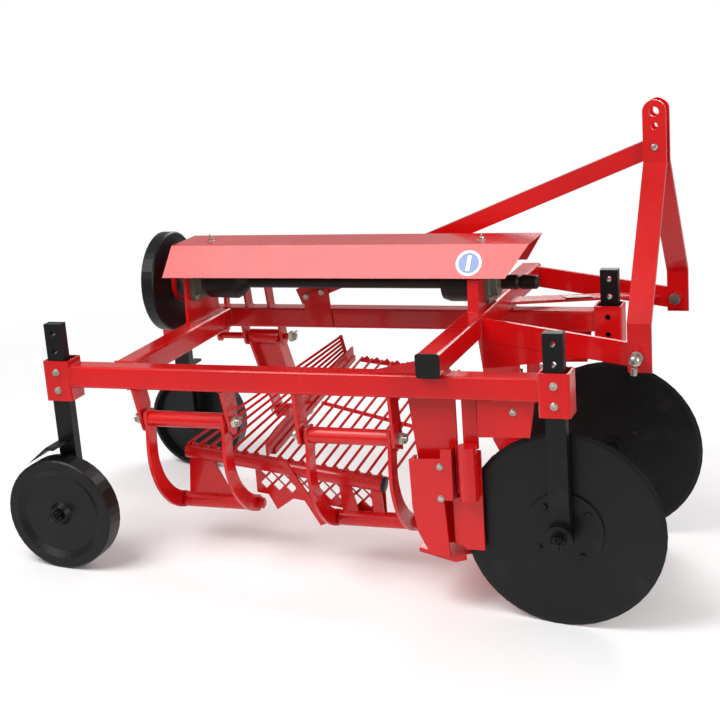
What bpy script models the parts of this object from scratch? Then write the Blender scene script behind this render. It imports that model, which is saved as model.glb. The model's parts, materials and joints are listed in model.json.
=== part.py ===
"""Tractor-mounted potato digger with a side-shaking sieve.

Metres, +Z up, +X towards the tractor, +Y to the machine's left.
The shapes are set out on a level frame: y = 0 is the outer face of the right beam and z = 0 is
the underside of both side beams. The whole machine hangs from one empty, which tips it until
its wheels and discs all stand on the ground.
"""
import bpy
import bmesh
from math import asin, atan2, cos, pi, radians, sin, tan
from mathutils import Matrix, Vector

GAP = 0.0003                    # between pieces that touch
CLEAR = 0.005                   # between pieces that move past each other
BORE_CLEAR = 0.0004             # round a pin, on the radius

# Side beams and cross tubes, all of one square tube
TUBE = 0.060
CORNER = 0.007                  # outside corner radius of the square tubes
BEAM_REAR, BEAM_FRONT = -1.193, 0.095
BEAM_SPACING = 0.683            # outer face of the right beam to inner face of the left one
FRONT_TUBE_X, REAR_TUBE_X = -0.175, -1.057
FRONT_TUBE_RIGHT, FRONT_TUBE_LEFT = -0.015, 1.058
GUSSET_LENGTH, GUSSET_THICK = 0.130, 0.006

# Clamp sleeves and the legs they hold
SLEEVE_LENGTH, SLEEVE_WALL = 0.078, 0.006
SLEEVE_TOP, SLEEVE_DROP = 0.075, 0.036
LEG_WIDTH, LEG_THICK = 0.050, 0.030
FRONT_LEG_TOP, REAR_LEG_TOP = 0.172, 0.176
SLEEVE_BOLT_RADIUS, SLEEVE_BOLT_STEP = 0.0080, 0.050

# Rear wheels and front discs
WHEEL_RADIUS, WHEEL_WIDTH, WHEEL_Z = 0.155, 0.064, -0.335
DISC_RADIUS, DISC_THICK, DISC_Z = 0.254, 0.005, -0.342
DISC_FLANGE_RADIUS = 0.100
AXLE_RADIUS, HUB_RADIUS = 0.011, 0.032

# Headstock
BAR_THICK, BAR_HEIGHT = 0.012, 0.062
BAR_DROP = 0.069                # the bars fall by this much to their pins
HITCH_X, HITCH_Z = 0.268, 0.022
HITCH_CENTRE_Y, HITCH_SPREAD = 0.694, 0.663
HITCH_PIN_RADIUS = 0.011
MAST_X, MAST_WIDTH, MAST_THICK, MAST_GAP = 0.274, 0.062, 0.010, 0.050
MAST_TOP_HOLE_Z, MAST_LOW_HOLE_Z, MAST_FOLD_Z, MAST_FOOT_FOLD_Z = 0.611, 0.573, 0.472, 0.105
TOP_HOLE_RADIUS, LOW_HOLE_RADIUS = 0.013, 0.0095
BRACE_DEPTH, BRACE_SHEET = 0.050, 0.006
BRACE_TOP = (MAST_X, 0.517)
BRACE_FOOT = (-0.765, 0.108)

# Drive line, along X
SHAFT_Y, SHAFT_Z, SHAFT_RADIUS = 0.530, 0.178, 0.0125
POST_THICK, PLATE_THICK = 0.030, 0.008
PLATE_X = -1.057
FLYWHEEL_X, FLYWHEEL_WIDTH, FLYWHEEL_RADIUS = -1.143, 0.040, 0.146
GUARD_TOP, GUARD_BOTTOM = 0.299, 0.214
GUARD_TOP_WIDTH, GUARD_BOTTOM_WIDTH, GUARD_SHEET = 0.155, 0.250, 0.003
GUARD_REAR, GUARD_FRONT = -1.093, -0.020
STUB_FRONT = -0.030
PIPE_RADIUS, BELL_RADIUS = 0.019, 0.054

# Swinging hangers: every link has the same length and slope, so the sieve stays level
LINK_Y, LINK_Z = 0.150, -0.285
SWING = 3.0                     # degrees either way
RIGHT_PIVOT_Y = 0.050
REAR_PIVOT_Z, FRONT_PIVOT_Z = -0.093, -0.121
LEFT_PIVOT_Y, LEFT_PIVOT_Z = 0.725, -0.038
REAR_ARMS, FRONT_ARMS = (-0.992, -0.767), (-0.531, -0.306)
LEFT_ARMS = (-0.982, -0.893)
ARM_THICK, ARM_WIDTH = 0.009, 0.046
PIVOT_TUBE_RADIUS, PIVOT_PIN_RADIUS = 0.0215, 0.010
LUG_THICK, LUG_SPACE = 0.008, 0.012

# Crank drive
CRANK_X, ROD_THICK = -1.103, 0.012
LEVER_Y, LEVER_Z = 0.805, 0.150

# Sieve
RAIL_Y, RAIL_RADIUS = 0.200, 0.0215
RAIL_REAR, RAIL_FRONT = (-0.967, -0.231), (-0.393, -0.304)
ROD_RADIUS, ROD_PITCH = 0.004, 0.032
FRONT_RODS, REAR_RODS = 11, 7
FRONT_ROD_X, REAR_ROD_X = -0.690, -0.952
SIEVE_WIDTH = 0.550
SIEVE_RISE = radians(13.5)
ROD_SKEW = 0.055                # a rod's left end lies this much ahead of its right end
STEP_X, STEP_HEIGHT = -0.722, 0.045

# Share and its brackets
BRACKET_X, BRACKET_WIDTH, BRACKET_THICK = -0.192, 0.124, 0.008
SHARE_THICK = 0.012
SHARE_SLOPE = -0.24

COLLECTION = "potato_digger"


def clear_scene():
    for item in list(bpy.data.objects):
        bpy.data.objects.remove(item, do_unlink=True)


def collection(name):
    made = bpy.data.collections.new(name)
    bpy.context.scene.collection.children.link(made)
    return made


def material(name, colour, roughness, metallic=0.0):
    made = bpy.data.materials.new(name)
    made.use_nodes = True
    shader = made.node_tree.nodes["Principled BSDF"]
    shader.inputs["Base Color"].default_value = (*colour, 1.0)
    shader.inputs["Roughness"].default_value = roughness
    shader.inputs["Metallic"].default_value = metallic
    return made


clear_scene()
PARTS = collection(COLLECTION)
RED = material("red_enamel", (0.62, 0.008, 0.010), 0.25)
BLACK = material("black_paint", (0.012, 0.012, 0.012), 0.42)
PLASTIC = material("black_plastic", (0.015, 0.015, 0.015), 0.50)
STEEL = material("zinc_steel", (0.60, 0.60, 0.58), 0.35, 1.0)
CAST = material("grey_cast_iron", (0.16, 0.19, 0.15), 0.55, 0.3)

WIDTH = BEAM_SPACING + TUBE                 # outer face to outer face of the side beams
FRONT_LEG_X = BEAM_FRONT + SLEEVE_LENGTH / 2 - 0.003
REAR_LEG_X = BEAM_REAR - SLEEVE_LENGTH / 2 + 0.003
LEG_Y = SLEEVE_WALL - 0.005 + GAP           # outer face of a right leg
FRONT_FACE = FRONT_TUBE_X + TUBE / 2
TUBE_TOP = 2 * TUBE + GAP
RAIL_SLOPE = (RAIL_FRONT[1] - RAIL_REAR[1]) / (RAIL_FRONT[0] - RAIL_REAR[0])
LEVER = Vector((LEVER_Y - LEFT_PIVOT_Y, LEVER_Z - LEFT_PIVOT_Z))
THROW = LEVER.length * sin(radians(SWING))  # of the eccentric, to swing the hangers by SWING


def ground_tilt():
    """Angle that lifts the front until wheels and discs touch one level floor."""
    run = FRONT_LEG_X - REAR_LEG_X
    rise = DISC_Z - WHEEL_Z
    reach = (run ** 2 + rise ** 2) ** 0.5
    return asin((DISC_RADIUS - WHEEL_RADIUS) / reach) - atan2(rise, run)


MACHINE = bpy.data.objects.new("machine", None)
bpy.context.scene.collection.objects.link(MACHINE)
MACHINE.rotation_euler = (0.0, -ground_tilt(), 0.0)

# How an outline's two axes and its thickness lie in space
PLANES = {
    "x": Matrix(((0, 0, 1), (1, 0, 0), (0, 1, 0))),
    "y": Matrix(((1, 0, 0), (0, 0, -1), (0, 1, 0))),
    "z": Matrix.Identity(3),
}


# ---- outlines -----------------------------------------------------------------------------

def arc(centre, radius, start, end, steps):
    turns = [radians(start + (end - start) * i / steps) for i in range(steps + 1)]
    return [(centre[0] + radius * cos(t), centre[1] + radius * sin(t)) for t in turns]


def circle(centre, radius, sides=20):
    return arc(centre, radius, 0, 360, sides)[:-1]


def rectangle(u0, u1, v0, v1):
    return [(u0, v0), (u1, v0), (u1, v1), (u0, v1)]


def rounded(u0, u1, v0, v1, radius=CORNER, steps=3):
    """Rectangle with rounded corners."""
    corners = ((u1 - radius, v1 - radius, 0), (u0 + radius, v1 - radius, 90),
               (u0 + radius, v0 + radius, 180), (u1 - radius, v0 + radius, 270))
    return [p for u, v, a in corners for p in arc((u, v), radius, a, a + 90, steps)]


def smooth(points, steps=4):
    """Points along a smooth curve through the given ones."""
    ends = [points[0], *points, points[-1]]
    path = []
    for i in range(len(points) - 1):
        a, b, c, d = (Vector(p) for p in ends[i:i + 4])
        for step in range(steps):
            t = step / steps
            path.append(0.5 * (2 * b + (c - a) * t + (2 * a - 5 * b + 4 * c - d) * t ** 2
                               + (3 * b - a - 3 * c + d) * t ** 3))
    return path + [Vector(points[-1])]


def ribbon(path, width, end_radius=0.0):
    """Band of even width along a path, with square ends or a round far end."""
    path = [Vector(p) for p in path]
    left, right = [], []
    for i, point in enumerate(path):
        ahead = (path[min(i + 1, len(path) - 1)] - path[max(i - 1, 0)]).normalized()
        side = Vector((-ahead.y, ahead.x)) * width / 2
        left.append(tuple(point + side))
        right.append(tuple(point - side))
    cap = []
    if end_radius:
        facing = atan2(left[-1][1] - path[-1].y, left[-1][0] - path[-1].x) * 180 / pi
        cap = arc(path[-1], end_radius, facing, facing - 180, 8)[1:-1]
    return left + cap + right[::-1]


# ---- solids -------------------------------------------------------------------------------

def close_seams(work):
    """Split any open edge at the vertices that lie along it, then weld it shut."""
    for _ in range(6):
        seams = [edge for edge in work.edges if edge.is_boundary]
        ends = {vert for edge in seams for vert in edge.verts}
        for edge in seams:
            start, span = edge.verts[0].co.copy(), edge.verts[1].co - edge.verts[0].co
            for vert in ends - set(edge.verts):
                share = (vert.co - start).dot(span) / span.length_squared
                if 0.001 < share < 0.999 and (start + span * share - vert.co).length < 1e-5:
                    bmesh.utils.edge_split(edge, edge.verts[0], share)
                    break
        if not seams:
            break
        bmesh.ops.remove_doubles(work, verts=work.verts, dist=1e-5)


def solid(mesh, name="solid"):
    """Object from a mesh in place, its doubles welded and its faces turned out."""
    work = bmesh.new()
    work.from_mesh(mesh)
    bmesh.ops.remove_doubles(work, verts=work.verts, dist=1e-5)
    close_seams(work)
    bmesh.ops.recalc_face_normals(work, faces=work.faces)
    work.to_mesh(mesh)
    work.free()
    return bpy.data.objects.new(name, mesh)


def evaluated(obj):
    """Take an object's finished shape as a new solid and remove the object."""
    scene = bpy.context.scene.collection
    if obj.name not in scene.objects:
        scene.objects.link(obj)
    bpy.context.view_layer.update()
    graph = bpy.context.evaluated_depsgraph_get()
    mesh = bpy.data.meshes.new_from_object(obj.evaluated_get(graph))
    mesh.transform(obj.matrix_world)
    bpy.data.objects.remove(obj, do_unlink=True)
    return solid(mesh)


def slab(loops, axis, low, high):
    """Flat outline, with any holes as further loops, between two planes square to an axis."""
    curve = bpy.data.curves.new("slab", "CURVE")
    curve.dimensions = "2D"
    curve.fill_mode = "BOTH"
    curve.extrude = abs(high - low) / 2
    for points in loops:
        spline = curve.splines.new("POLY")
        spline.points.add(len(points) - 1)
        for place, (u, v) in zip(spline.points, points):
            place.co = (u, v, 0.0, 1.0)
        spline.use_cyclic_u = True
    obj = bpy.data.objects.new("slab", curve)
    turn = PLANES[axis].to_4x4()
    along = Vector([1.0 if axis == letter else 0.0 for letter in "xyz"])
    obj.matrix_world = Matrix.Translation(along * (low + high) / 2) @ turn
    return evaluated(obj)


def block(low, high):
    mesh = bpy.data.meshes.new("block")
    work = bmesh.new()
    bmesh.ops.create_cube(work, size=1.0)
    work.to_mesh(mesh)
    work.free()
    low, high = Vector(low), Vector(high)
    size = Matrix.Diagonal((*(high - low), 1.0))
    mesh.transform(Matrix.Translation((low + high) / 2) @ size)
    return solid(mesh)


def bar(start, end, radius, sides=12):
    """Round bar between two points."""
    start, end = Vector(start), Vector(end)
    mesh = bpy.data.meshes.new("bar")
    work = bmesh.new()
    bmesh.ops.create_cone(work, cap_ends=True, segments=sides, radius1=radius, radius2=radius,
                          depth=(end - start).length)
    work.to_mesh(mesh)
    work.free()
    turn = (end - start).to_track_quat("Z", "Y").to_matrix().to_4x4()
    mesh.transform(Matrix.Translation((start + end) / 2) @ turn)
    return solid(mesh)


def turned(profile, centre, axis, sides=48):
    """Ring turned from a closed profile of (radius, place along the axis) points."""
    mesh = bpy.data.meshes.new("turned")
    edges = [(i, (i + 1) % len(profile)) for i in range(len(profile))]
    mesh.from_pydata([(radius, 0.0, along) for radius, along in profile], edges, [])
    obj = bpy.data.objects.new("turned", mesh)
    screw = obj.modifiers.new("turn", "SCREW")
    screw.steps = sides
    screw.render_steps = sides
    screw.use_merge_vertices = True
    screw.merge_threshold = 1e-5
    turn = Vector(axis).to_track_quat("Z", "Y").to_matrix().to_4x4()
    obj.matrix_world = Matrix.Translation(centre) @ turn
    return evaluated(obj)


def fuse(pieces, cuts=(), keep=()):
    """Join solids into one, then cut with some solids and keep only what lies inside others."""
    body, *rest = pieces
    tools = [("UNION", rest), ("DIFFERENCE", cuts), ("INTERSECT", keep)]
    scene = bpy.context.scene.collection
    used = []
    for operation, solids in tools:
        for tool in solids:
            scene.objects.link(tool)
            tool.hide_render = True
            tool.display_type = "WIRE"
            step = body.modifiers.new(operation.lower(), "BOOLEAN")
            step.operation = operation
            step.solver = "EXACT"
            step.object = tool
            used.append(tool)
    result = evaluated(body)
    for tool in used:
        bpy.data.objects.remove(tool, do_unlink=True)
    return result


def sheared(obj, move, base):
    """Slide a solid along one axis in step with another: move = (target, source, slope)."""
    target, source, slope = move
    slant = Matrix.Identity(4)
    slant[target][source] = slope
    slant[target][3] = -slope * base
    obj.data.transform(slant)
    return obj


def mirrored(obj):
    """The same solid on the machine's other side."""
    flip = Matrix.Scale(-1.0, 4, (0.0, 1.0, 0.0))
    mesh = obj.data.copy()
    mesh.transform(Matrix.Translation((0.0, WIDTH, 0.0)) @ flip)
    return solid(mesh)


def add(name, obj, paint, pivot=(0.0, 0.0, 0.0)):
    """Name a finished solid, set its origin on its pivot and hang it on the machine."""
    obj.name = name
    obj.data.name = name
    obj.data.transform(Matrix.Translation(-Vector(pivot)))
    obj.location = pivot
    obj.data.materials.clear()
    obj.data.materials.append(paint)
    obj.data.shade_smooth()
    obj.data.set_sharp_from_angle(angle=radians(35))
    PARTS.objects.link(obj)
    obj.parent = MACHINE


def pair(name, build, paint, pivot=None):
    """A right-hand piece and its mirror image on the left."""
    right = build()
    left = mirrored(right)
    place = pivot or (0.0, 0.0, 0.0)
    other = (place[0], WIDTH - place[1], place[2]) if pivot else place
    add("right_" + name, right, paint, place)
    add("left_" + name, left, paint, other)


# ---- frame --------------------------------------------------------------------------------

def square_tube(axis, low, high, u, v):
    return slab([rounded(u, u + TUBE, v, v + TUBE)], axis, low, high)


def frame():
    lugs = [left_lug(LEFT_ARMS[0] - ARM_THICK / 2 - LUG_SPACE),
            left_lug(LEFT_ARMS[1] + ARM_THICK / 2 + LUG_SPACE),
            guard_lug(-0.978), guard_lug(-0.905), brace_plate()]
    add("right_beam", fuse(side_beam()), RED)
    add("left_beam", fuse([mirrored(fuse(side_beam())), fuse(lugs)]), RED)
    front = square_tube("y", FRONT_TUBE_RIGHT, FRONT_TUBE_LEFT, FRONT_TUBE_X - TUBE / 2,
                        TUBE + GAP)
    add("front_cross_tube", fuse([front, corner_gusset()]), RED)
    rear = square_tube("y", TUBE + GAP, BEAM_SPACING - GAP, REAR_TUBE_X - TUBE / 2, 0.0)
    add("rear_cross_tube", rear, RED)
    lip = 0.001
    outline = rounded(FRONT_TUBE_X - TUBE / 2 - lip, FRONT_TUBE_X + TUBE / 2 + lip,
                      TUBE + GAP - lip, TUBE_TOP + lip)
    end = FRONT_TUBE_RIGHT - GAP
    add("tube_cap", slab([outline], "y", end - 0.006, end), PLASTIC)


def side_beam():
    """Solids of a beam: its tube, two leg sleeves and the plate under its front end."""
    beam = square_tube("x", BEAM_REAR, BEAM_FRONT, 0.0, 0.0)
    return [beam, sleeve(FRONT_LEG_X), sleeve(REAR_LEG_X), side_plate()]


def corner_gusset():
    """Flat triangle in the corner between the right beam's top and the front cross tube."""
    x = FRONT_TUBE_X - TUBE / 2 + 0.010
    outline = [(x, 0.012), (x, 0.012 + GUSSET_LENGTH), (x - 0.030, 0.012 + GUSSET_LENGTH),
               (x - GUSSET_LENGTH, 0.030), (x - GUSSET_LENGTH, 0.012)]
    return slab([outline], "z", TUBE + GAP, TUBE + GAP + GUSSET_THICK)


def sleeve(centre_x):
    """Upright socket welded to a beam's end."""
    low, high = centre_x - SLEEVE_LENGTH / 2, centre_x + SLEEVE_LENGTH / 2
    near, far = LEG_Y - GAP - SLEEVE_WALL, TUBE - LEG_Y + GAP + SLEEVE_WALL
    outer = rounded(low, high, near, far, 0.005, 2)
    inner = rectangle(low + SLEEVE_WALL, high - SLEEVE_WALL, near + SLEEVE_WALL,
                      far - SLEEVE_WALL)
    tube = slab([outer, inner], "z", -SLEEVE_DROP, SLEEVE_TOP)
    middle = (SLEEVE_TOP - SLEEVE_DROP) / 2
    holes = [bar((centre_x, far - 2 * SLEEVE_WALL, middle + z),
                 (centre_x, far + SLEEVE_WALL, middle + z), SLEEVE_BOLT_RADIUS)
             for z in (-SLEEVE_BOLT_STEP / 2, SLEEVE_BOLT_STEP / 2)]
    return fuse([tube], cuts=holes)


def leg(centre_x, top, axle_z, outboard):
    """Leg in its sleeve, with a stub axle outboard for a wheel or inboard for a disc."""
    near, far = LEG_Y, LEG_Y + LEG_THICK
    half = LEG_WIDTH / 2
    outline = [*arc((centre_x, axle_z), half, 180, 360, 12),
               (centre_x + half, top), (centre_x - half, top)]
    holes = [circle((centre_x, top - drop), SLEEVE_BOLT_RADIUS, 12)
             for drop in (0.026, 0.026 + SLEEVE_BOLT_STEP)]
    body = slab([outline, *holes], "y", near, far)
    if outboard:
        pieces = [axle(centre_x, axle_z, far - 0.010, WHEEL_Y - HUB_HALF - 0.003, -1),
                  bar((centre_x, near - 0.012, axle_z), (centre_x, far - 0.002, axle_z),
                      0.020, 24),
                  scraper(centre_x, axle_z)]
    else:
        pieces = [axle(centre_x, axle_z, near + 0.010, DISC_Y + DISC_HUB + 0.003, 1),
                  bar((centre_x, near - 0.022, axle_z), (centre_x, near + 0.004, axle_z),
                      0.036, 24),
                  bar((centre_x, near - 0.042, axle_z), (centre_x, near - 0.018, axle_z),
                      0.018, 6)]
    return fuse([body, *pieces])


def axle(x, z, start, end, way):
    """Stub axle with its nut on the end."""
    pin = bar((x, start, z), (x, end + way * 0.006, z), AXLE_RADIUS, 24)
    nut = bar((x, end, z), (x, end + way * 0.016, z), 0.017, 6)
    return fuse([pin, nut])


def scraper(x, z):
    """Bent plate over the tyre face that scrapes soil off the rim."""
    reach = WHEEL_RADIUS + CLEAR + 0.001
    tip = arc((x, z), reach, 116, 118, 1)
    outline = [(x + 0.010, z + reach + 0.030), (x - 0.014, z + reach + 0.030), tip[1], tip[0],
               (x - 0.012, z + reach + 0.022), (x + 0.010, z + reach + 0.022)]
    return slab([outline], "y", WHEEL_Y - WHEEL_WIDTH / 2, LEG_Y + 0.010)


# Running gear across the machine, from the legs
HUB_HALF, DISC_HUB = 0.034, 0.012
WHEEL_Y = LEG_Y - 0.018 - HUB_HALF
DISC_Y = LEG_Y + LEG_THICK + 0.018


def wheel():
    """Steel gauge wheel, dished on both faces."""
    rim, face = WHEEL_RADIUS, WHEEL_WIDTH / 2
    bore = AXLE_RADIUS + BORE_CLEAR
    profile = [(bore, -HUB_HALF), (HUB_RADIUS * 0.7, -HUB_HALF), (HUB_RADIUS, -face + 0.012),
               (rim - 0.046, -face + 0.012), (rim - 0.028, -face), (rim - 0.004, -face),
               (rim, -face + 0.004), (rim, face - 0.004), (rim - 0.004, face),
               (rim - 0.012, face), (rim - 0.024, 0.006), (HUB_RADIUS, 0.006),
               (HUB_RADIUS * 0.7, HUB_HALF), (bore, HUB_HALF)]
    return turned(profile, (REAR_LEG_X, WHEEL_Y, WHEEL_Z), (0, 1, 0), 40)


def disc():
    """Plain cutting disc with its bolted hub flange towards the leg."""
    bore = AXLE_RADIUS + BORE_CLEAR
    half = DISC_THICK / 2
    flange = half + 0.007
    profile = [(bore, -DISC_HUB), (HUB_RADIUS, -DISC_HUB), (HUB_RADIUS, -flange),
               (DISC_FLANGE_RADIUS, -flange), (DISC_FLANGE_RADIUS, -half),
               (DISC_RADIUS - 0.012, -half), (DISC_RADIUS, 0.0), (DISC_RADIUS - 0.012, half),
               (HUB_RADIUS, half), (HUB_RADIUS, DISC_HUB), (bore, DISC_HUB)]
    return turned(profile, (FRONT_LEG_X, DISC_Y, DISC_Z), (0, 1, 0), 48)


def running_gear():
    pair("front_leg", lambda: leg(FRONT_LEG_X, FRONT_LEG_TOP, DISC_Z, False), BLACK)
    pair("rear_leg", lambda: leg(REAR_LEG_X, REAR_LEG_TOP, WHEEL_Z, True), BLACK)
    pair("wheel", wheel, BLACK, (REAR_LEG_X, WHEEL_Y, WHEEL_Z))
    pair("disc", disc, BLACK, (FRONT_LEG_X, DISC_Y, DISC_Z))


# ---- headstock ----------------------------------------------------------------------------

BAR_RIGHT = HITCH_CENTRE_Y - HITCH_SPREAD / 2       # outer faces of the link bars
BAR_LEFT = HITCH_CENTRE_Y + HITCH_SPREAD / 2


def link_bar(low, high, braced):
    """Sloping bar from the front cross tube to a hitch pin, with a gusset on the right one."""
    start_x, end_x = FRONT_FACE + GAP, HITCH_X + 0.034
    slope = -BAR_DROP / (end_x - start_x)
    half = BAR_HEIGHT / 2
    end_z = HITCH_Z + slope * (end_x - HITCH_X)
    start_z = end_z + BAR_DROP
    outline = [(start_x, start_z - half), (end_x, end_z - half), (end_x, end_z + half),
               (start_x, start_z + half)]
    hole = circle((HITCH_X, HITCH_Z), HITCH_PIN_RADIUS + BORE_CLEAR)
    body = slab([outline, hole], "y", low, high)
    if not braced:
        return body
    gusset_end = start_x + 0.300
    root = start_z - half - 0.075
    gusset = [(start_x, root), (start_x + 0.025, root),
              (gusset_end, start_z + slope * (gusset_end - start_x) - half + 0.008),
              (start_x, start_z)]
    middle = (low + high) / 2
    return fuse([body, slab([gusset], "y", middle - 0.004, middle + 0.004)])


def mast_strap():
    """Right strap of the mast: upright at the top, splayed out to its link bar."""
    top_in = HITCH_CENTRE_Y - MAST_GAP / 2
    top_out = top_in - MAST_THICK
    foot_in = BAR_RIGHT - GAP
    foot_out = foot_in - MAST_THICK
    crown = MAST_TOP_HOLE_Z + MAST_WIDTH / 2
    foot = HITCH_Z - 0.042
    bend = 0.004
    side = [(foot_out, foot), (foot_in, foot), (foot_in, MAST_FOOT_FOLD_Z - bend),
            (top_in, MAST_FOLD_Z - bend), (top_in, crown + 0.01), (top_out, crown + 0.01),
            (top_out, MAST_FOLD_Z + bend), (foot_out, MAST_FOOT_FOLD_Z + bend)]
    half = MAST_WIDTH / 2
    front = [(MAST_X + half, foot), *arc((MAST_X, MAST_TOP_HOLE_Z), half, 0, 180, 16),
             (MAST_X - half, foot)]
    holes = [circle((MAST_X, MAST_TOP_HOLE_Z), TOP_HOLE_RADIUS),
             circle((MAST_X, MAST_LOW_HOLE_Z), LOW_HOLE_RADIUS),
             circle((HITCH_X, HITCH_Z), HITCH_PIN_RADIUS + BORE_CLEAR)]
    bent = slab([side], "x", MAST_X - half - 0.01, MAST_X + half + 0.01)
    shape = slab([front, *holes], "y", foot_out - 0.01, top_in + 0.01)
    return fuse([bent], keep=[shape])


def across_hitch(obj):
    """Mirror a headstock piece about the hitch's own middle."""
    flip = Matrix.Scale(-1.0, 4, (0.0, 1.0, 0.0))
    mesh = obj.data.copy()
    mesh.transform(Matrix.Translation((0.0, 2 * HITCH_CENTRE_Y, 0.0)) @ flip)
    return solid(mesh)


def hitch_pin():
    """Right lower hitch pin with its collar inside the bar."""
    outer = BAR_RIGHT - GAP - MAST_THICK
    inner = BAR_RIGHT + BAR_THICK
    pin = bar((HITCH_X, outer - 0.045, HITCH_Z), (HITCH_X, inner + 0.004, HITCH_Z),
              HITCH_PIN_RADIUS, 24)
    collar = bar((HITCH_X, inner + GAP, HITCH_Z), (HITCH_X, inner + 0.014, HITCH_Z), 0.018, 6)
    return fuse([pin, collar])


def brace():
    """Long stay from the mast down to the left beam: a web with a flange along its top."""
    start, end = Vector(BRACE_FOOT), Vector(BRACE_TOP)
    ahead = (end - start).normalized()
    up = Vector((-ahead.y, ahead.x))
    half = BRACE_DEPTH / 2
    web_low = BEAM_SPACING + GAP
    foot, head = start - ahead * 0.035, end + ahead * 0.022
    web = [tuple(foot - up * half), tuple(head - up * half), tuple(head + up * half),
           tuple(foot + up * half)]
    lip = [tuple(foot + ahead * 0.06 + up * (half - BRACE_SHEET)),
           tuple(head + up * (half - BRACE_SHEET)), tuple(head + up * half),
           tuple(foot + ahead * 0.06 + up * half)]
    flange_end = HITCH_CENTRE_Y + MAST_GAP / 2 - GAP
    return fuse([slab([web], "y", web_low, web_low + BRACE_SHEET),
                 slab([lip], "y", web_low + BRACE_SHEET / 2, flange_end)])


def brace_plate():
    """Plate on the left beam's inner face that carries the foot of the brace."""
    x, z = BRACE_FOOT
    outline = [(x - 0.018, 0.004), (x + 0.072, 0.004), (x + 0.064, z + 0.018), (x - 0.014, z - 0.002)]
    pad = block((x - 0.010, BEAM_SPACING - 0.004, 0.012), (x + 0.062, BEAM_SPACING + 0.002, 0.048))
    return fuse([slab([outline], "y", BEAM_SPACING - 0.006, BEAM_SPACING - GAP), pad])


def diagonal_strut():
    """Flat bar from the front cross tube to the left link bar."""
    start = Vector((FRONT_FACE + GAP, 0.700))
    end = Vector((0.170, BAR_LEFT - BAR_THICK - GAP))
    outline = [(start.x, start.y - 0.040), (end.x + 0.055, end.y), (end.x, end.y),
               (start.x, start.y + 0.030)]
    strut = slab([outline], "z", TUBE + 0.022, TUBE + 0.030)
    return sheared(strut, (2, 0, -BAR_DROP / (HITCH_X + 0.034 - FRONT_FACE)), start.x)


def headstock():
    add("right_link_bar", link_bar(BAR_RIGHT, BAR_RIGHT + BAR_THICK, True), RED)
    add("left_link_bar", link_bar(BAR_LEFT - BAR_THICK, BAR_LEFT, False), RED)
    strap = mast_strap()
    other = across_hitch(strap)
    add("right_mast_strap", strap, RED)
    add("left_mast_strap", other, RED)
    pin = hitch_pin()
    other = across_hitch(pin)
    add("right_hitch_pin", pin, STEEL)
    add("left_hitch_pin", other, STEEL)
    add("mast_brace", brace(), RED)
    add("diagonal_strut", diagonal_strut(), RED)


# ---- drive --------------------------------------------------------------------------------

def guard_inside(z):
    """Half the guard's inside width at a height."""
    share = (GUARD_TOP - z) / (GUARD_TOP - GUARD_BOTTOM)
    width = GUARD_TOP_WIDTH + (GUARD_BOTTOM_WIDTH - GUARD_TOP_WIDTH) * share
    return width / 2 - 2 * GUARD_SHEET


def carrier(right, left, foot, low, high):
    """Upright plate under the guard, bored for the shaft."""
    top = GUARD_TOP - GUARD_SHEET - GAP
    shoulder = GUARD_BOTTOM - 0.010
    tip = guard_inside(top)
    outline = [(right, foot), (left, foot), (left - 0.012, shoulder), (SHAFT_Y + tip, top),
               (SHAFT_Y - tip, top), (right + 0.010, shoulder)]
    hole = circle((SHAFT_Y, SHAFT_Z), SHAFT_RADIUS + CLEAR)
    return slab([outline, hole], "x", low, high)


def bearing(face, way):
    """Flanged bearing housing on a carrier's face."""
    flange = rounded(SHAFT_Y - 0.052, SHAFT_Y + 0.052, SHAFT_Z - 0.052, SHAFT_Z + 0.052,
                     0.018, 3)
    bore = circle((SHAFT_Y, SHAFT_Z), SHAFT_RADIUS + BORE_CLEAR)
    boss = circle((SHAFT_Y, SHAFT_Z), 0.038)
    ends = [sorted((face, face + way * depth)) for depth in (0.012, 0.030)]
    return fuse([slab([flange, bore], "x", *ends[0]), slab([boss, bore], "x", *ends[1])])


def along_shaft(profile, sides=32):
    """Ring round the shaft from (radius, x) points."""
    return turned([(r, x) for r, x in profile], (0.0, SHAFT_Y, SHAFT_Z), (1, 0, 0), sides)


def shaft_guard():
    """Plastic pipe round the shaft with a bell at each end."""
    bore = SHAFT_RADIUS + BORE_CLEAR
    rear, front = PLATE_X + 0.052, FRONT_TUBE_X - 0.024
    return along_shaft([
        (bore, rear), (BELL_RADIUS - 0.006, rear), (BELL_RADIUS - 0.004, rear + 0.085),
        (BELL_RADIUS - 0.012, rear + 0.100), (PIPE_RADIUS, rear + 0.122),
        (PIPE_RADIUS, front - 0.094), (BELL_RADIUS - 0.006, front - 0.090),
        (BELL_RADIUS, front - 0.070), (BELL_RADIUS, front), (bore, front)])


def flywheel():
    bore = SHAFT_RADIUS + GAP
    rear, front = FLYWHEEL_X - FLYWHEEL_WIDTH / 2, FLYWHEEL_X + FLYWHEEL_WIDTH / 2
    rim = FLYWHEEL_RADIUS
    return along_shaft([
        (bore, rear - 0.010), (0.030, rear - 0.010), (0.034, rear + 0.008),
        (rim - 0.030, rear + 0.008), (rim - 0.024, rear), (rim - 0.004, rear),
        (rim, rear + 0.004), (rim, front - 0.004), (rim - 0.004, front), (bore, front)], 48)


def eccentric():
    """Sheave on the shaft, off centre by the throw."""
    low, high = CRANK_X - ROD_THICK / 2 - 0.001, CRANK_X + ROD_THICK / 2 + 0.001
    rim = circle((SHAFT_Y, SHAFT_Z + THROW), SHEAVE_RADIUS, 32)
    return slab([rim], "x", low, high)


SHEAVE_RADIUS = 0.026
PTO_CAP_REAR = FRONT_TUBE_X + 0.049


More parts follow.
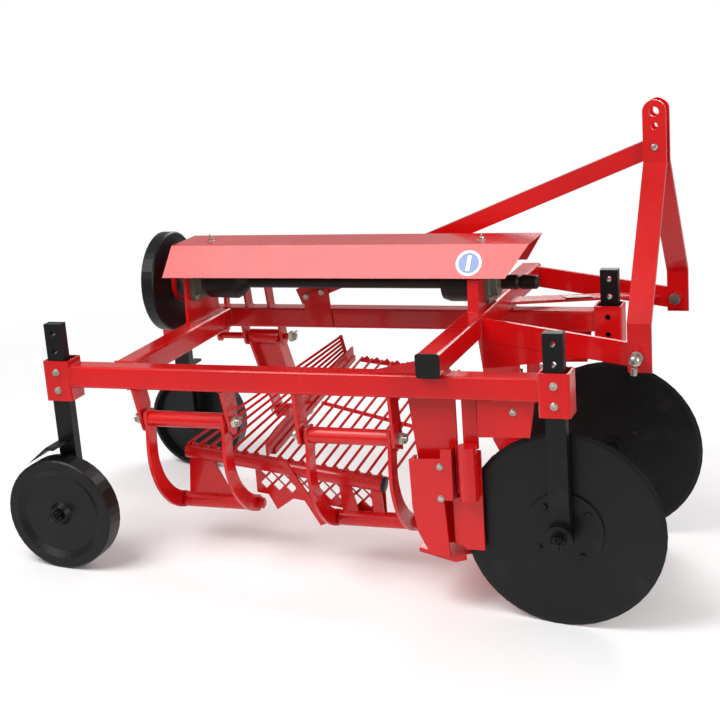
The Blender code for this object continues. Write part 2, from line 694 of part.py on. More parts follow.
def pto_cap():
    """Ribbed cap over the stub shaft."""
    bore = SHAFT_RADIUS + GAP
    rear, front = PTO_CAP_REAR, STUB_FRONT + 0.004
    middle = (rear + front) / 2
    outer = along_shaft([
        (bore, rear), (0.019, rear), (0.020, middle - 0.008), (0.015, middle),
        (0.020, middle + 0.008), (0.019, front - 0.004), (0.016, front), (bore, front)])
    lid = bar((STUB_FRONT + GAP, SHAFT_Y, SHAFT_Z), (front - 0.001, SHAFT_Y, SHAFT_Z),
              SHAFT_RADIUS + 0.002, 32)
    return fuse([outer, lid])


def drive():
    axis = (0.0, SHAFT_Y, SHAFT_Z)
    post_front = FRONT_TUBE_X + 0.011
    post = carrier(SHAFT_Y - 0.118, SHAFT_Y + 0.095, TUBE_TOP + GAP, post_front - POST_THICK,
                   post_front)
    add("front_post", post, RED)
    plate = carrier(SHAFT_Y - 0.082, SHAFT_Y + 0.130, TUBE + GAP, PLATE_X - PLATE_THICK / 2,
                    PLATE_X + PLATE_THICK / 2)
    add("rear_bearing_plate", plate, RED)
    add("front_bearing", bearing(post_front + GAP, 1), CAST)
    add("rear_bearing", bearing(PLATE_X + PLATE_THICK / 2 + GAP, 1), CAST)
    shaft = bar((FLYWHEEL_X - FLYWHEEL_WIDTH / 2 - 0.014, SHAFT_Y, SHAFT_Z),
                (STUB_FRONT, SHAFT_Y, SHAFT_Z), SHAFT_RADIUS, 32)
    add("drive_shaft", fuse([shaft, eccentric()]), STEEL, axis)
    add("pto_cap", pto_cap(), PLASTIC, axis)
    add("shaft_guard", shaft_guard(), PLASTIC)
    add("flywheel", flywheel(), BLACK, axis)
    add("drive_guard", drive_guard(), RED)


def drive_guard():
    """Folded sheet over the shaft, its open ends cut on the slant."""
    def section(drop, top, low_half, high_half):
        return [(SHAFT_Y - low_half, GUARD_BOTTOM - drop), (SHAFT_Y - high_half, top),
                (SHAFT_Y + high_half, top), (SHAFT_Y + low_half, GUARD_BOTTOM - drop)]
    outer = section(0.0, GUARD_TOP, GUARD_BOTTOM_WIDTH / 2, GUARD_TOP_WIDTH / 2)
    inner = section(0.0, GUARD_TOP - GUARD_SHEET, GUARD_BOTTOM_WIDTH / 2 - GUARD_SHEET,
                    GUARD_TOP_WIDTH / 2 - GUARD_SHEET)
    outline = [outer[0], outer[1], outer[2], outer[3], inner[3], inner[2], inner[1], inner[0]]
    side = [(GUARD_REAR - 0.010, GUARD_BOTTOM - 0.01), (GUARD_FRONT - 0.072, GUARD_BOTTOM - 0.01),
            (GUARD_FRONT, GUARD_TOP + 0.01), (GUARD_REAR + 0.010, GUARD_TOP + 0.01)]
    sheet = slab([outline], "x", GUARD_REAR - 0.02, GUARD_FRONT + 0.02)
    cut = slab([side], "y", SHAFT_Y - GUARD_BOTTOM_WIDTH, SHAFT_Y + GUARD_BOTTOM_WIDTH)
    return fuse([sheet], keep=[cut])


def guard_lug(x):
    """Upright lug on the left beam beside the guard."""
    base = BEAM_SPACING + 0.004
    outline = [(base + 0.004, TUBE - 0.002), (base + TUBE - 0.012, TUBE - 0.002), (base + 0.030, 0.190),
               (base - 0.022, 0.190)]
    return slab([outline], "x", x - 0.003, x + 0.003)


# ---- hangers ------------------------------------------------------------------------------

def right_arm(x, pivot_z):
    """Bowed arm from the upper pivot down to the lower one."""
    route = [(0.0, 0.022), (0.001, -0.030), (-0.004, -0.082), (-0.001, -0.130), (0.024, -0.190),
             (0.068, -0.240), (0.112, -0.270), (LINK_Y, LINK_Z)]
    path = smooth([(RIGHT_PIVOT_Y + y, pivot_z + z) for y, z in route], 3)
    outline = ribbon(path, ARM_WIDTH, ARM_WIDTH / 2)
    return slab([outline], "x", x - ARM_THICK / 2, x + ARM_THICK / 2)


def pivot_tube(y, z, low, high, bored=True):
    loops = [circle((y, z), PIVOT_TUBE_RADIUS)]
    if bored:
        loops.append(circle((y, z), PIVOT_PIN_RADIUS + BORE_CLEAR))
    return slab(loops, "x", low, high)


def right_hanger(arms, pivot_z):
    """Two bowed arms on a pivot tube, with the bolt for the sieve through their feet."""
    reach = ARM_THICK / 2 + 0.003
    tube = pivot_tube(RIGHT_PIVOT_Y, pivot_z, arms[0] - reach, arms[1] + reach, False)
    bore = bar((arms[0] - 0.02, RIGHT_PIVOT_Y, pivot_z), (arms[1] + 0.02, RIGHT_PIVOT_Y, pivot_z),
               PIVOT_PIN_RADIUS + BORE_CLEAR, 24)
    foot_y, foot_z = RIGHT_PIVOT_Y + LINK_Y, pivot_z + LINK_Z
    bolt = bar((arms[0] - 0.012, foot_y, foot_z), (arms[1] + 0.022, foot_y, foot_z),
               PIVOT_PIN_RADIUS, 24)
    nut = bar((arms[1] + 0.003, foot_y, foot_z), (arms[1] + 0.018, foot_y, foot_z), 0.017, 6)
    return fuse([tube, *(right_arm(x, pivot_z) for x in arms), bolt, nut], cuts=[bore])


def right_lugs(arms, pivot_z, outline):
    """Pair of lugs under the right beam with the pivot bolt between them."""
    pieces = []
    for x in (arms[0] - LUG_SPACE - ARM_THICK / 2, arms[1] + LUG_SPACE + ARM_THICK / 2):
        pieces.append(slab([outline], "x", x - LUG_THICK / 2, x + LUG_THICK / 2))
    out = LUG_SPACE + ARM_THICK + 0.004
    bolt = bar((arms[0] - out, RIGHT_PIVOT_Y, pivot_z), (arms[1] + out, RIGHT_PIVOT_Y, pivot_z),
               PIVOT_PIN_RADIUS, 24)
    return fuse([bolt, *pieces])


def left_hanger():
    """Channel-like link on the left, with the lever that the crank drives."""
    top = Vector((LEFT_PIVOT_Y, LEFT_PIVOT_Z))
    foot = top + Vector((LINK_Y, LINK_Z))
    side = smooth([tuple(top), tuple(top.lerp(foot, 0.5)), tuple(foot)], 2)
    cheek = ribbon(side, 0.052, 0.026)
    pieces = [slab([cheek], "x", x - ARM_THICK / 2, x + ARM_THICK / 2) for x in LEFT_ARMS]
    web = ribbon([tuple(top.lerp(foot, 0.10)), tuple(top.lerp(foot, 0.50))], 0.008)
    pieces.append(slab([web], "x", *LEFT_ARMS))
    tube = pivot_tube(*top, LEFT_ARMS[0] - 0.004, LEFT_ARMS[1] + 0.004, False)
    lever_low, lever_high = LEVER_X - ARM_THICK / 2, LEVER_X + ARM_THICK / 2
    pin = bar((lever_low - 0.004, *top), (LEFT_ARMS[1] + 0.036, *top), PIVOT_PIN_RADIUS, 24)
    bolt = bar((LEFT_ARMS[0] - 0.012, *foot), (LEFT_ARMS[1] + 0.020, *foot), PIVOT_PIN_RADIUS,
               24)
    route = smooth([tuple(top), (LEFT_PIVOT_Y + 0.050, LEFT_PIVOT_Z + 0.014),
                    (LEVER_Y - 0.018, 0.035), (LEVER_Y, LEVER_Z)], 4)
    lever = slab([ribbon(route, 0.026, 0.017)], "x", lever_low, lever_high)
    eye_pin = bar((CRANK_X - ROD_THICK, LEVER_Y, LEVER_Z), (LEVER_X, LEVER_Y, LEVER_Z),
                  CRANK_PIN_RADIUS, 16)
    collar = slab([circle(top, 0.018)], "x", lever_low, lever_high)
    return fuse([tube, *pieces, pin, bolt, lever, collar, eye_pin])


LEVER_X = CRANK_X + ROD_THICK / 2 + 0.002 + ARM_THICK / 2
CRANK_PIN_RADIUS = 0.008


def left_lug(x):
    """Bored lug under the left beam."""
    top = [(LEFT_PIVOT_Y + 0.009, 0.002), (LEFT_PIVOT_Y - 0.034, 0.002)]
    outline = [*top, *arc((LEFT_PIVOT_Y, LEFT_PIVOT_Z - 0.006), 0.022, 190, 350, 8)]
    bore = circle((LEFT_PIVOT_Y, LEFT_PIVOT_Z), PIVOT_PIN_RADIUS + BORE_CLEAR)
    return slab([outline, bore], "x", x - LUG_THICK / 2, x + LUG_THICK / 2)


def connecting_rod():
    """Strap round the eccentric and a bar to the lever's pin."""
    opening = SHEAVE_RADIUS + 2 * THROW + 0.001
    low, high = CRANK_X - ROD_THICK / 2, CRANK_X + ROD_THICK / 2
    strap = slab([circle((SHAFT_Y, SHAFT_Z), opening + 0.010, 40)], "x", low, high)
    beam = slab([ribbon([(SHAFT_Y, SHAFT_Z), (LEVER_Y, LEVER_Z)], 0.026, 0.017)], "x", low, high)
    hole = bar((low - 0.01, SHAFT_Y, SHAFT_Z), (high + 0.01, SHAFT_Y, SHAFT_Z), opening, 40)
    eye = bar((low - 0.01, LEVER_Y, LEVER_Z), (high + 0.01, LEVER_Y, LEVER_Z),
              CRANK_PIN_RADIUS + BORE_CLEAR, 16)
    return fuse([strap, beam], cuts=[hole, eye])


def hangers():
    rear_lug = [(0.072, -GAP), (0.002, -GAP), *arc((0.058, -0.112), 0.020, 200, 350, 6),
                (0.088, -0.060)]
    front_lug = [(0.060, -GAP), (0.002, -GAP), (0.018, FRONT_PIVOT_Z - 0.016),
                 (0.078, FRONT_PIVOT_Z - 0.038), (0.078, FRONT_PIVOT_Z + 0.020)]
    add("right_rear_lugs", right_lugs(REAR_ARMS, REAR_PIVOT_Z, rear_lug), RED)
    add("right_front_lugs", right_lugs(FRONT_ARMS, FRONT_PIVOT_Z, front_lug), RED)
    for name, arms, z in (("right_rear_hanger", REAR_ARMS, REAR_PIVOT_Z),
                          ("right_front_hanger", FRONT_ARMS, FRONT_PIVOT_Z)):
        add(name, right_hanger(arms, z), RED, (arms[0], RIGHT_PIVOT_Y, z))
    add("left_hanger", left_hanger(), RED, (LEFT_ARMS[0], LEFT_PIVOT_Y, LEFT_PIVOT_Z))
    add("connecting_rod", connecting_rod(), RED, (CRANK_X, LEVER_Y, LEVER_Z))


# ---- sieve --------------------------------------------------------------------------------

def rail_z(x):
    return RAIL_REAR[1] + RAIL_SLOPE * (x - RAIL_REAR[0])


def deck_z(x, y=RAIL_Y):
    """Height of a front rod's centre line."""
    lift = (RAIL_RADIUS + ROD_RADIUS + 0.0004) / cos(SIEVE_RISE) / cos(RAIL_SLOPE)
    return rail_z(x) + lift + (y - RAIL_Y) * tan(SIEVE_RISE)


def on_rail(x, end):
    """Start of a rod that crosses the rail at x, just touching it, on its way to its end."""
    rail = Vector((1.0, 0.0, RAIL_SLOPE)).normalized()
    cross = Vector((x, RAIL_Y, rail_z(x) + RAIL_RADIUS))
    for _ in range(6):
        away = rail.cross(end - cross).normalized()
        gap = abs(away.dot(cross - Vector((x, RAIL_Y, rail_z(x)))))
        cross.z += (RAIL_RADIUS + ROD_RADIUS + 0.0002 - gap) / abs(away.z)
    return cross + (cross - end).normalized() * 0.010


def side_rail():
    start = Vector((RAIL_REAR[0], RAIL_Y, RAIL_REAR[1]))
    end = Vector((RAIL_FRONT[0], RAIL_Y, RAIL_FRONT[1]))
    return bar(start, end, RAIL_RADIUS, 24)


def front_grid():
    """Rods rising from the rail, on a bar under them and a toothed strip at their far ends."""
    rods = []
    left = RAIL_Y + SIEVE_WIDTH
    for i in range(FRONT_RODS):
        x = FRONT_ROD_X + i * ROD_PITCH
        rods.append(bar((x, RAIL_Y - 0.008, deck_z(x, RAIL_Y - 0.008)),
                        (x + ROD_SKEW, left, deck_z(x, left)), ROD_RADIUS, 8))
    last = FRONT_ROD_X + (FRONT_RODS - 1) * ROD_PITCH
    y0, y1 = RAIL_Y + 0.295, RAIL_Y + 0.245
    x0 = FRONT_ROD_X - 0.012 + ROD_SKEW * (y0 - RAIL_Y) / SIEVE_WIDTH
    x1 = last + 0.012 + ROD_SKEW * (y1 - RAIL_Y) / SIEVE_WIDTH
    tie = bar((x0, y0, deck_z(FRONT_ROD_X - 0.012, y0) - 0.008),
              (x1, y1, deck_z(last + 0.012, y1) - 0.008), 0.006, 8)
    strip = []
    for i in range(FRONT_RODS):
        x = FRONT_ROD_X + i * ROD_PITCH + ROD_SKEW
        base = deck_z(x - ROD_SKEW, left) - 0.003
        strip += [(x - ROD_PITCH * 0.16, base + 0.002), (x + ROD_PITCH * 0.16, base + 0.002),
                  (x + ROD_PITCH * 0.5, base + 0.010)]
    strip = [*strip[:-1], (last + ROD_SKEW + 0.008, deck_z(last, left) - 0.012),
             (FRONT_ROD_X + ROD_SKEW - 0.008, deck_z(FRONT_ROD_X, left) - 0.012)]
    edge = slab([strip], "y", left - 0.006, left)
    return fuse([edge, *rods, tie])


def rear_grid():
    """Fan of rods from the rail up to a steep edge bar."""
    apex = Vector((STEP_X + 0.022, RAIL_Y + SIEVE_WIDTH, -0.043))
    low = Vector((STEP_X + 0.036, RAIL_Y + SIEVE_WIDTH, -0.108))
    pieces = [bar(low, apex + (apex - low) * 0.06, 0.006, 8)]
    for i in range(REAR_RODS):
        x = REAR_ROD_X + i * ROD_PITCH
        end = apex.lerp(low, i / (REAR_RODS - 1) * 0.94)
        pieces.append(bar(on_rail(x, end), end, ROD_RADIUS, 8))
    return fuse(pieces)


def step_plate():
    """Upright plate across the sieve between its two grids, on a square bar."""
    right, left = RAIL_Y - 0.006, RAIL_Y + SIEVE_WIDTH + 0.004
    base, rise = deck_z(STEP_X), SIEVE_WIDTH * tan(SIEVE_RISE)
    plate = [(right, base - 0.003), (left, base + rise - 0.003),
             (left, base + rise - 0.003 + STEP_HEIGHT * 0.7),
             (RAIL_Y + 0.06, base + STEP_HEIGHT + 0.016), (right, base + STEP_HEIGHT - 0.006)]
    inner = RAIL_RADIUS + 0.006
    lift = inner * tan(SIEVE_RISE)
    foot = [(RAIL_Y + inner, base - 0.014 + lift), (left, base - 0.014 + rise),
            (left, base + 0.002 + rise), (RAIL_Y + inner, base + 0.002 + lift)]
    made = fuse([slab([plate], "x", STEP_X - 0.003, STEP_X + 0.003),
                 slab([foot], "x", STEP_X - 0.008, STEP_X + 0.008)])
    return sheared(made, (0, 1, ROD_SKEW / SIEVE_WIDTH), RAIL_Y)


def sieve_mount(arms, pivot_z, plates):
    """Pivot tube between a hanger's feet, with plates up to the rail."""
    y, z = RIGHT_PIVOT_Y + LINK_Y, pivot_z + LINK_Z
    low, high = arms[0] + ARM_THICK / 2 + 0.002, arms[1] - ARM_THICK / 2 - 0.002
    tube = pivot_tube(y, z, low, high, False)
    under = RAIL_RADIUS / 2
    webs = []
    for foot_rear, foot_front, top_rear, top_front in plates:
        outline = [(low + foot_rear, z + 0.012), (low + foot_front, z + 0.012),
                   (low + top_front, rail_z(low + top_front) - under),
                   (low + top_rear, rail_z(low + top_rear) - under)]
        webs.append(slab([outline], "y", y - 0.003, y + 0.003))
    bore = bar((low - 0.01, y, z), (high + 0.01, y, z), PIVOT_PIN_RADIUS + BORE_CLEAR, 24)
    return fuse([tube, *webs], cuts=[bore])


def left_sieve_arm():
    """Tube on the left hanger's bolt and an arm from it to the step plate's bar."""
    y, z = LEFT_PIVOT_Y + LINK_Y, LEFT_PIVOT_Z + LINK_Z
    low, high = LEFT_ARMS[0] + ARM_THICK / 2 + 0.002, LEFT_ARMS[1] - ARM_THICK / 2 - 0.002
    tube = pivot_tube(y, z, low, high, False)
    bore = bar((low - 0.01, y, z), (high + 0.01, y, z), PIVOT_PIN_RADIUS + BORE_CLEAR, 24)
    foot_y = RAIL_Y + 0.180
    foot_z = deck_z(STEP_X, foot_y) - 0.008
    skew = ROD_SKEW / SIEVE_WIDTH
    rear_face = STEP_X - 0.006
    pad = sheared(block((rear_face - 0.010, foot_y - 0.040, foot_z - 0.016),
                        (rear_face, foot_y + 0.040, foot_z + 0.002)), (0, 1, skew), RAIL_Y)
    start = Vector(((low + high) / 2, y - 0.012, z + 0.002))
    end = Vector((rear_face + skew * (foot_y - RAIL_Y) - 0.008, foot_y, foot_z - 0.007))
    return fuse([tube, bar(start, end, 0.011, 12), pad], cuts=[bore])


def sieve_strut():
    """Flat bar from the rail down towards the front mount."""
    high_x, low_x = STEP_X + 0.050, FRONT_ARMS[0] - 0.034
    outline = [(high_x - 0.010, rail_z(high_x) + 0.026), (high_x + 0.010, rail_z(high_x) + 0.026),
               (low_x + 0.012, FRONT_PIVOT_Z + LINK_Z - 0.010), (low_x - 0.008,
               FRONT_PIVOT_Z + LINK_Z - 0.018)]
    face = RAIL_Y - RAIL_RADIUS + 0.003
    return slab([outline], "y", face - 0.007, face)


def side_lattice():
    """Plate of diamond mesh hung behind the rail, with two corners reaching lower."""
    near = RAIL_Y + RAIL_RADIUS + GAP
    rear, front, drop, pitch = -0.776, -0.396, 0.100, 0.038

    def low(x):
        return rail_z(x) - drop
    outline = [(rear, low(rear)), (-0.742, low(-0.742)), (-0.719, -0.404), (-0.668, low(-0.668)),
               (-0.490, low(-0.490)), (-0.455, -0.432), (-0.425, low(-0.425)),
               (front, low(front)), (front, rail_z(front) - 0.001), (rear, rail_z(rear) - 0.001)]
    holes = []
    for row in range(3):
        for column in range(9 - row % 2):
            x = rear + 0.029 + (column + (row % 2) / 2) * pitch
            z = rail_z(x) - 0.030 - row * pitch / 2
            size = pitch / 2 - 0.0035
            holes.append([(x - size, z), (x, z - size), (x + size, z), (x, z + size)])
    return slab([outline, *holes], "y", near, near + 0.004)


def sieve():
    lead = (FRONT_ARMS[0], RIGHT_PIVOT_Y + LINK_Y, FRONT_PIVOT_Z + LINK_Z)
    mounts = [sieve_mount(REAR_ARMS, REAR_PIVOT_Z, [(0.012, 0.150, 0.024, 0.090)]),
              sieve_mount(FRONT_ARMS, FRONT_PIVOT_Z, [(0.012, 0.060, 0.004, 0.034),
                                                      (0.100, 0.130, 0.094, 0.124)])]
    add("side_rail", fuse([side_rail(), *mounts, sieve_strut()]), RED, lead)
    add("front_grid", front_grid(), RED, lead)
    add("rear_grid", rear_grid(), RED, lead)
    add("step_plate", fuse([step_plate(), left_sieve_arm()]), RED, lead)
    add("side_lattice", side_lattice(), RED, lead)


# ---- share --------------------------------------------------------------------------------

def share_bracket():
    """Plate under the beam with a strip and a socket pipe in front of it."""
    rear, front = BRACKET_X - BRACKET_WIDTH / 2, BRACKET_X + BRACKET_WIDTH / 2
    near, far = 0.044, 0.044 + BRACKET_THICK
    plate = slab([[(rear, -GAP), (rear + 0.030, -0.280), (rear + 0.060, -0.392),
                   (front - 0.002, -0.392), (front, -GAP)]], "y", near, far)
    tie = fuse([block((front - 0.004, 0.033, -0.250), (front + 0.050, 0.041, -0.130)),
                block((front - 0.003, 0.035, -0.248), (front + 0.004, far - 0.001, -0.132))])
    strip = block((front + 0.018, 0.036, -0.135), (front + 0.056, 0.044, -GAP))
    pipe_x = front + 0.036
    pipe = slab([circle((pipe_x, 0.006), 0.0245)], "z", -0.258, -0.118)
    neck = block((pipe_x - 0.010, 0.010, -0.248), (pipe_x + 0.010, 0.037, -0.132))
    return fuse([plate, tie, strip, neck, pipe, guide_plate()])


def share_leg():
    """Channel bolted to the bracket that carries the end of the share."""
    rear, front = BRACKET_X - 0.054, BRACKET_X + BRACKET_WIDTH / 2 - 0.002
    fold = BRACKET_X + 0.028
    face = [(rear, -0.158), (rear + 0.002, -0.285), (rear + 0.013, -0.350), (rear + 0.044, -0.412),
            (fold + 0.012, -0.412), (fold + 0.006, -0.300), (fold + 0.004, -0.262),
            (front - 0.004, -0.262), (front - 0.002, -0.128), (fold + 0.002, -0.128),
            (fold, -0.154)]
    plate = slab([face], "y", 0.0, 0.008)
    flanges = [block((rear, 0.004, -0.280), (rear + 0.008, 0.044 - GAP, -0.160)),
               block((front - 0.012, 0.004, -0.258), (front - 0.005, 0.044 - GAP, -0.132))]
    return fuse([plate, *flanges])


def guide_plate():
    """Upright plate between the share's end and the disc."""
    x = BRACKET_X + BRACKET_WIDTH / 2 + 0.042
    outline = [(x - 0.022, -0.400), (x - 0.056, -0.385), (x - 0.056, -0.266), (x - 0.020, -0.255),
               (x - 0.020, -0.136), (x + 0.022, -0.136), (x + 0.020, -0.400)]
    return slab([outline], "y", 0.0250, 0.0320)


def side_plate():
    """Plate under the beam between the bracket and the front sleeve."""
    front = FRONT_LEG_X - SLEEVE_LENGTH / 2 - 0.010
    outline = [(-0.068, 0.002), (-0.070, -0.100), (front - 0.020, -0.096), (front - 0.004, 0.002)]
    return slab([outline], "y", 0.022, 0.028)


def share_blade():
    """Toothed blade across the machine, lowest at its point."""
    end = 0.008 + GAP
    rear, corner, point = -0.236, -0.142, -0.030
    teeth, depth = 6, 0.012
    outline = [(rear, WIDTH - end), (rear, end), (corner, end)]
    middle = WIDTH / 2
    for i in range(teeth):
        share = (i + 0.5) / teeth
        x, y = corner + (point - corner) * share, end + (middle - end) * share
        outline += [(x + depth, y), (x - 0.002, y + (middle - end) / teeth * 0.4)]
    outline.append((point + depth, middle))
    for i in reversed(range(teeth)):
        share = (i + 0.5) / teeth
        x, y = corner + (point - corner) * share, end + (middle - end) * share
        outline += [(x - 0.002, WIDTH - y - (middle - end) / teeth * 0.4), (x + depth, WIDTH - y)]
    outline.append((corner, WIDTH - end))
    blade = slab([outline], "z", -0.418, -0.418 + SHARE_THICK)
    return sheared(blade, (2, 0, SHARE_SLOPE), BRACKET_X)


def share():
    pair("share_bracket", share_bracket, RED)
    pair("share_leg", share_leg, RED)
    add("share_blade", share_blade(), RED)


def stand_on_ground():
    """Centre the machine over the origin with its lowest point on the floor."""
    bpy.context.view_layer.update()
    corners = [part.matrix_world @ v.co for part in PARTS.objects for v in part.data.vertices]
    low = Vector(min(c[i] for c in corners) for i in range(3))
    high = Vector(max(c[i] for c in corners) for i in range(3))
    MACHINE.location = (-(low.x + high.x) / 2, -(low.y + high.y) / 2, -low.z)
    bpy.context.view_layer.update()


frame()
running_gear()
headstock()
drive()
hangers()
sieve()
share()
stand_on_ground()
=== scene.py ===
"""Finish, fasteners, welds and studio for a tractor-mounted vibrating potato digger.

Sizes are in metres. Places are given on the machine's own level frame, with +X towards the
tractor, +Y to its left and z = 0 under the side beams, and at() tips them to where it stands.
"""
import json
from math import ceil, cos, pi, radians, sin

import bpy
from bpy.props import FloatProperty, FloatVectorProperty, PointerProperty
from bpy.types import Operator, Panel, PropertyGroup
from mathutils import Matrix, Vector


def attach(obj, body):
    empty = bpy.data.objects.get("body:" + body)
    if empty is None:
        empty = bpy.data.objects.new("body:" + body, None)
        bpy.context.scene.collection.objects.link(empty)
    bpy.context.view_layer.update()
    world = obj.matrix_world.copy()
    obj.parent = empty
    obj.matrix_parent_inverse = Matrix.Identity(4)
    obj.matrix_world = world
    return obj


bl_info = {
    "name": "Potato Digger Finish",
    "version": (1, 0, 0),
    "blender": (4, 5, 0),
    "location": "3D View > Sidebar > Digger",
    "description": "Paint, fasteners, welds and studio for a vibrating potato digger",
    "category": "Object",
}

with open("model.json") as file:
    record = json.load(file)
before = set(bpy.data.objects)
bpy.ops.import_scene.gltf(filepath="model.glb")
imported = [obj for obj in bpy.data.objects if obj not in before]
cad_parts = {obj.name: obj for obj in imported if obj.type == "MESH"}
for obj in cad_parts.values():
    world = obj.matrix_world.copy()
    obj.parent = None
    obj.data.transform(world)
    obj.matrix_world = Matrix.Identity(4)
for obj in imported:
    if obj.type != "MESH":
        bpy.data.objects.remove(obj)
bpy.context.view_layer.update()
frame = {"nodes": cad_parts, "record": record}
NODES = frame["nodes"]
JOINTS = {joint["name"]: joint for joint in frame["record"]["behaviour"]["joints"]}

# The machine's level frame, found from the drive shaft's joint
DRIVE_POINT = Vector((-0.5, 0.530, 0.178))
AHEAD = Vector(JOINTS["drive"]["axis"]).normalized()
LEFT = Vector((0.0, 1.0, 0.0))
UP = AHEAD.cross(LEFT).normalized()
TURN = Matrix((AHEAD, LEFT, UP)).transposed().to_4x4()
MACHINE = Matrix.Translation(Vector(JOINTS["drive"]["pos_m"]) - TURN @ DRIVE_POINT) @ TURN

# Where things stand on the machine
TUBE, WIDTH = 0.060, 0.743
FRONT_LEG_X, REAR_LEG_X, SLEEVE_MIDDLE = 0.131, -1.229, 0.0195
DISC_Z, WHEEL_Z, AXLE_NUT_Y = -0.342, -0.335, -0.0407
FLOOR_FADE = (1.3, 2.8)            # how far out the floor begins to thin, and where it ends
FRONT_TUBE_X, TUBE_TOP = -0.175, 0.1203
SHAFT_Y, SHAFT_Z = 0.530, 0.178
HITCH_X, HITCH_Z, HITCH_CENTRE_Y = 0.268, 0.022, 0.694
HITCH_SPREAD, STRAP_THICK, PIN_REACH = 0.663, 0.010, 0.040
GAP = 0.0003                       # between pieces that touch
SLEEVE_BOLT_RISE = 0.025           # of a sleeve's bolts above and below its middle
DISC_FACE_Y = 0.0398
DISC_BOLT_RADIUS, DISC_CLAMP = 0.078, 0.012
REAR_NUT_Y = -0.0877
STAY_FOOT_BOLTS = ((-0.772, 0.098), (-0.722, 0.112))
STAY_TOP_BOLT = (0.274, 0.517)
RAIL_Y, RAIL_SLOPE = 0.200, -0.1272
RAIL_REAR = (-0.967, -0.231)
HANGERS = (("right_rear_hanger", (-0.992, -0.767), -0.093),
           ("right_front_hanger", (-0.531, -0.306), -0.121))


def linear(code):
    """Linear red, green and blue of an sRGB hex colour."""
    parts = [int(code[i:i + 2], 16) / 255 for i in (1, 3, 5)]
    return tuple(c / 12.92 if c <= 0.04045 else ((c + 0.055) / 1.055) ** 2.4 for c in parts)


def at(x, y, z):
    return MACHINE @ Vector((x, y, z))


def rail_z(x):
    return RAIL_REAR[1] + RAIL_SLOPE * (x - RAIL_REAR[0])


# ---- settings -----------------------------------------------------------------------------

class DiggerPaint(PropertyGroup):
    red: FloatVectorProperty(name="Red enamel", description="Frame and sieve", size=3,
                             subtype="COLOR", default=linear("#CE0A0D"), min=0, max=1)
    black: FloatVectorProperty(name="Black paint", description="Legs, wheels and discs", size=3,
                               subtype="COLOR", default=linear("#0F0F10"), min=0, max=1)
    plastic: FloatVectorProperty(name="Black plastic", description="Guards and caps", size=3,
                                 subtype="COLOR", default=linear("#101011"), min=0, max=1)
    zinc: FloatVectorProperty(name="Zinc plate", description="Bolts, nuts and pins", size=3,
                              subtype="COLOR", default=linear("#C6C3B6"), min=0, max=1)
    cast: FloatVectorProperty(name="Bearing paint", description="Bearing housings", size=3,
                              subtype="COLOR", default=linear("#5F6A5E"), min=0, max=1)
    label: FloatVectorProperty(name="Label blue", description="Middle of the round label",
                               size=3, subtype="COLOR", default=linear("#1E5AA8"), min=0, max=1)
    edge: FloatProperty(name="Edge softness", description="Radius that catches the light",
                        default=0.0012, min=0.0, max=0.005, unit="LENGTH")


class DiggerFasteners(PropertyGroup):
    large: FloatProperty(name="Large bolt", description="Radius over the corners of M14 heads",
                         default=0.0088, min=0.005, max=0.02, unit="LENGTH")
    small: FloatProperty(name="Small bolt", description="Radius over the corners of M10 heads",
                         default=0.0080, min=0.004, max=0.02, unit="LENGTH")
    bead: FloatProperty(name="Weld bead", description="Half width of a weld bead",
                        default=0.0036, min=0.001, max=0.01, unit="LENGTH")
    ripple: FloatProperty(name="Weld ripple", description="Distance between weld ripples",
                          default=0.0034, min=0.001, max=0.01, unit="LENGTH")


class DiggerStage(PropertyGroup):
    floor: FloatVectorProperty(name="Floor", description="Floor colour", size=3,
                               subtype="COLOR", default=linear("#FAFAFA"), min=0, max=1)
    key: FloatProperty(name="Key light", description="Power of the main softbox", default=150.0,
                       min=0.0, max=1000.0, unit="POWER")
    room: FloatProperty(name="Room light", description="Strength of the even light",
                        default=0.42, min=0.0, max=5.0)
    lens: FloatProperty(name="Lens", description="Focal length in millimetres", default=73.93,
                        min=20.0, max=200.0)


def settings(name):
    return getattr(bpy.context.scene, "digger_" + name)


# ---- materials ----------------------------------------------------------------------------

def new_material(name):
    made = bpy.data.materials.new(name)
    made.use_nodes = True
    made.node_tree.nodes.clear()
    return made, made.node_tree


def node(tree, kind, options=None, **inputs):
    """One shader node with its options, and its inputs set or linked. Spaces are underscores."""
    made = tree.nodes.new(kind)
    for key, value in (options or {}).items():
        setattr(made, key, value)
    for key, value in inputs.items():
        socket = made.inputs[key.replace("_", " ")]
        if isinstance(value, bpy.types.NodeSocket):
            tree.links.new(value, socket)
        else:
            socket.default_value = value
    return made


def spread(tree, value, low, high, out_low, out_high):
    return node(tree, "ShaderNodeMapRange", {"clamp": True}, Value=value, From_Min=low,
                From_Max=high, To_Min=out_low, To_Max=out_high).outputs["Result"]


def coordinates(tree):
    return node(tree, "ShaderNodeTexCoord").outputs["Object"]


def tinted(tree, factor, dark, light):
    mix = node(tree, "ShaderNodeMix", {"data_type": "RGBA"}, Factor=factor)
    mix.inputs[6].default_value = (*dark, 1.0)
    mix.inputs[7].default_value = (*light, 1.0)
    return mix.outputs[2]


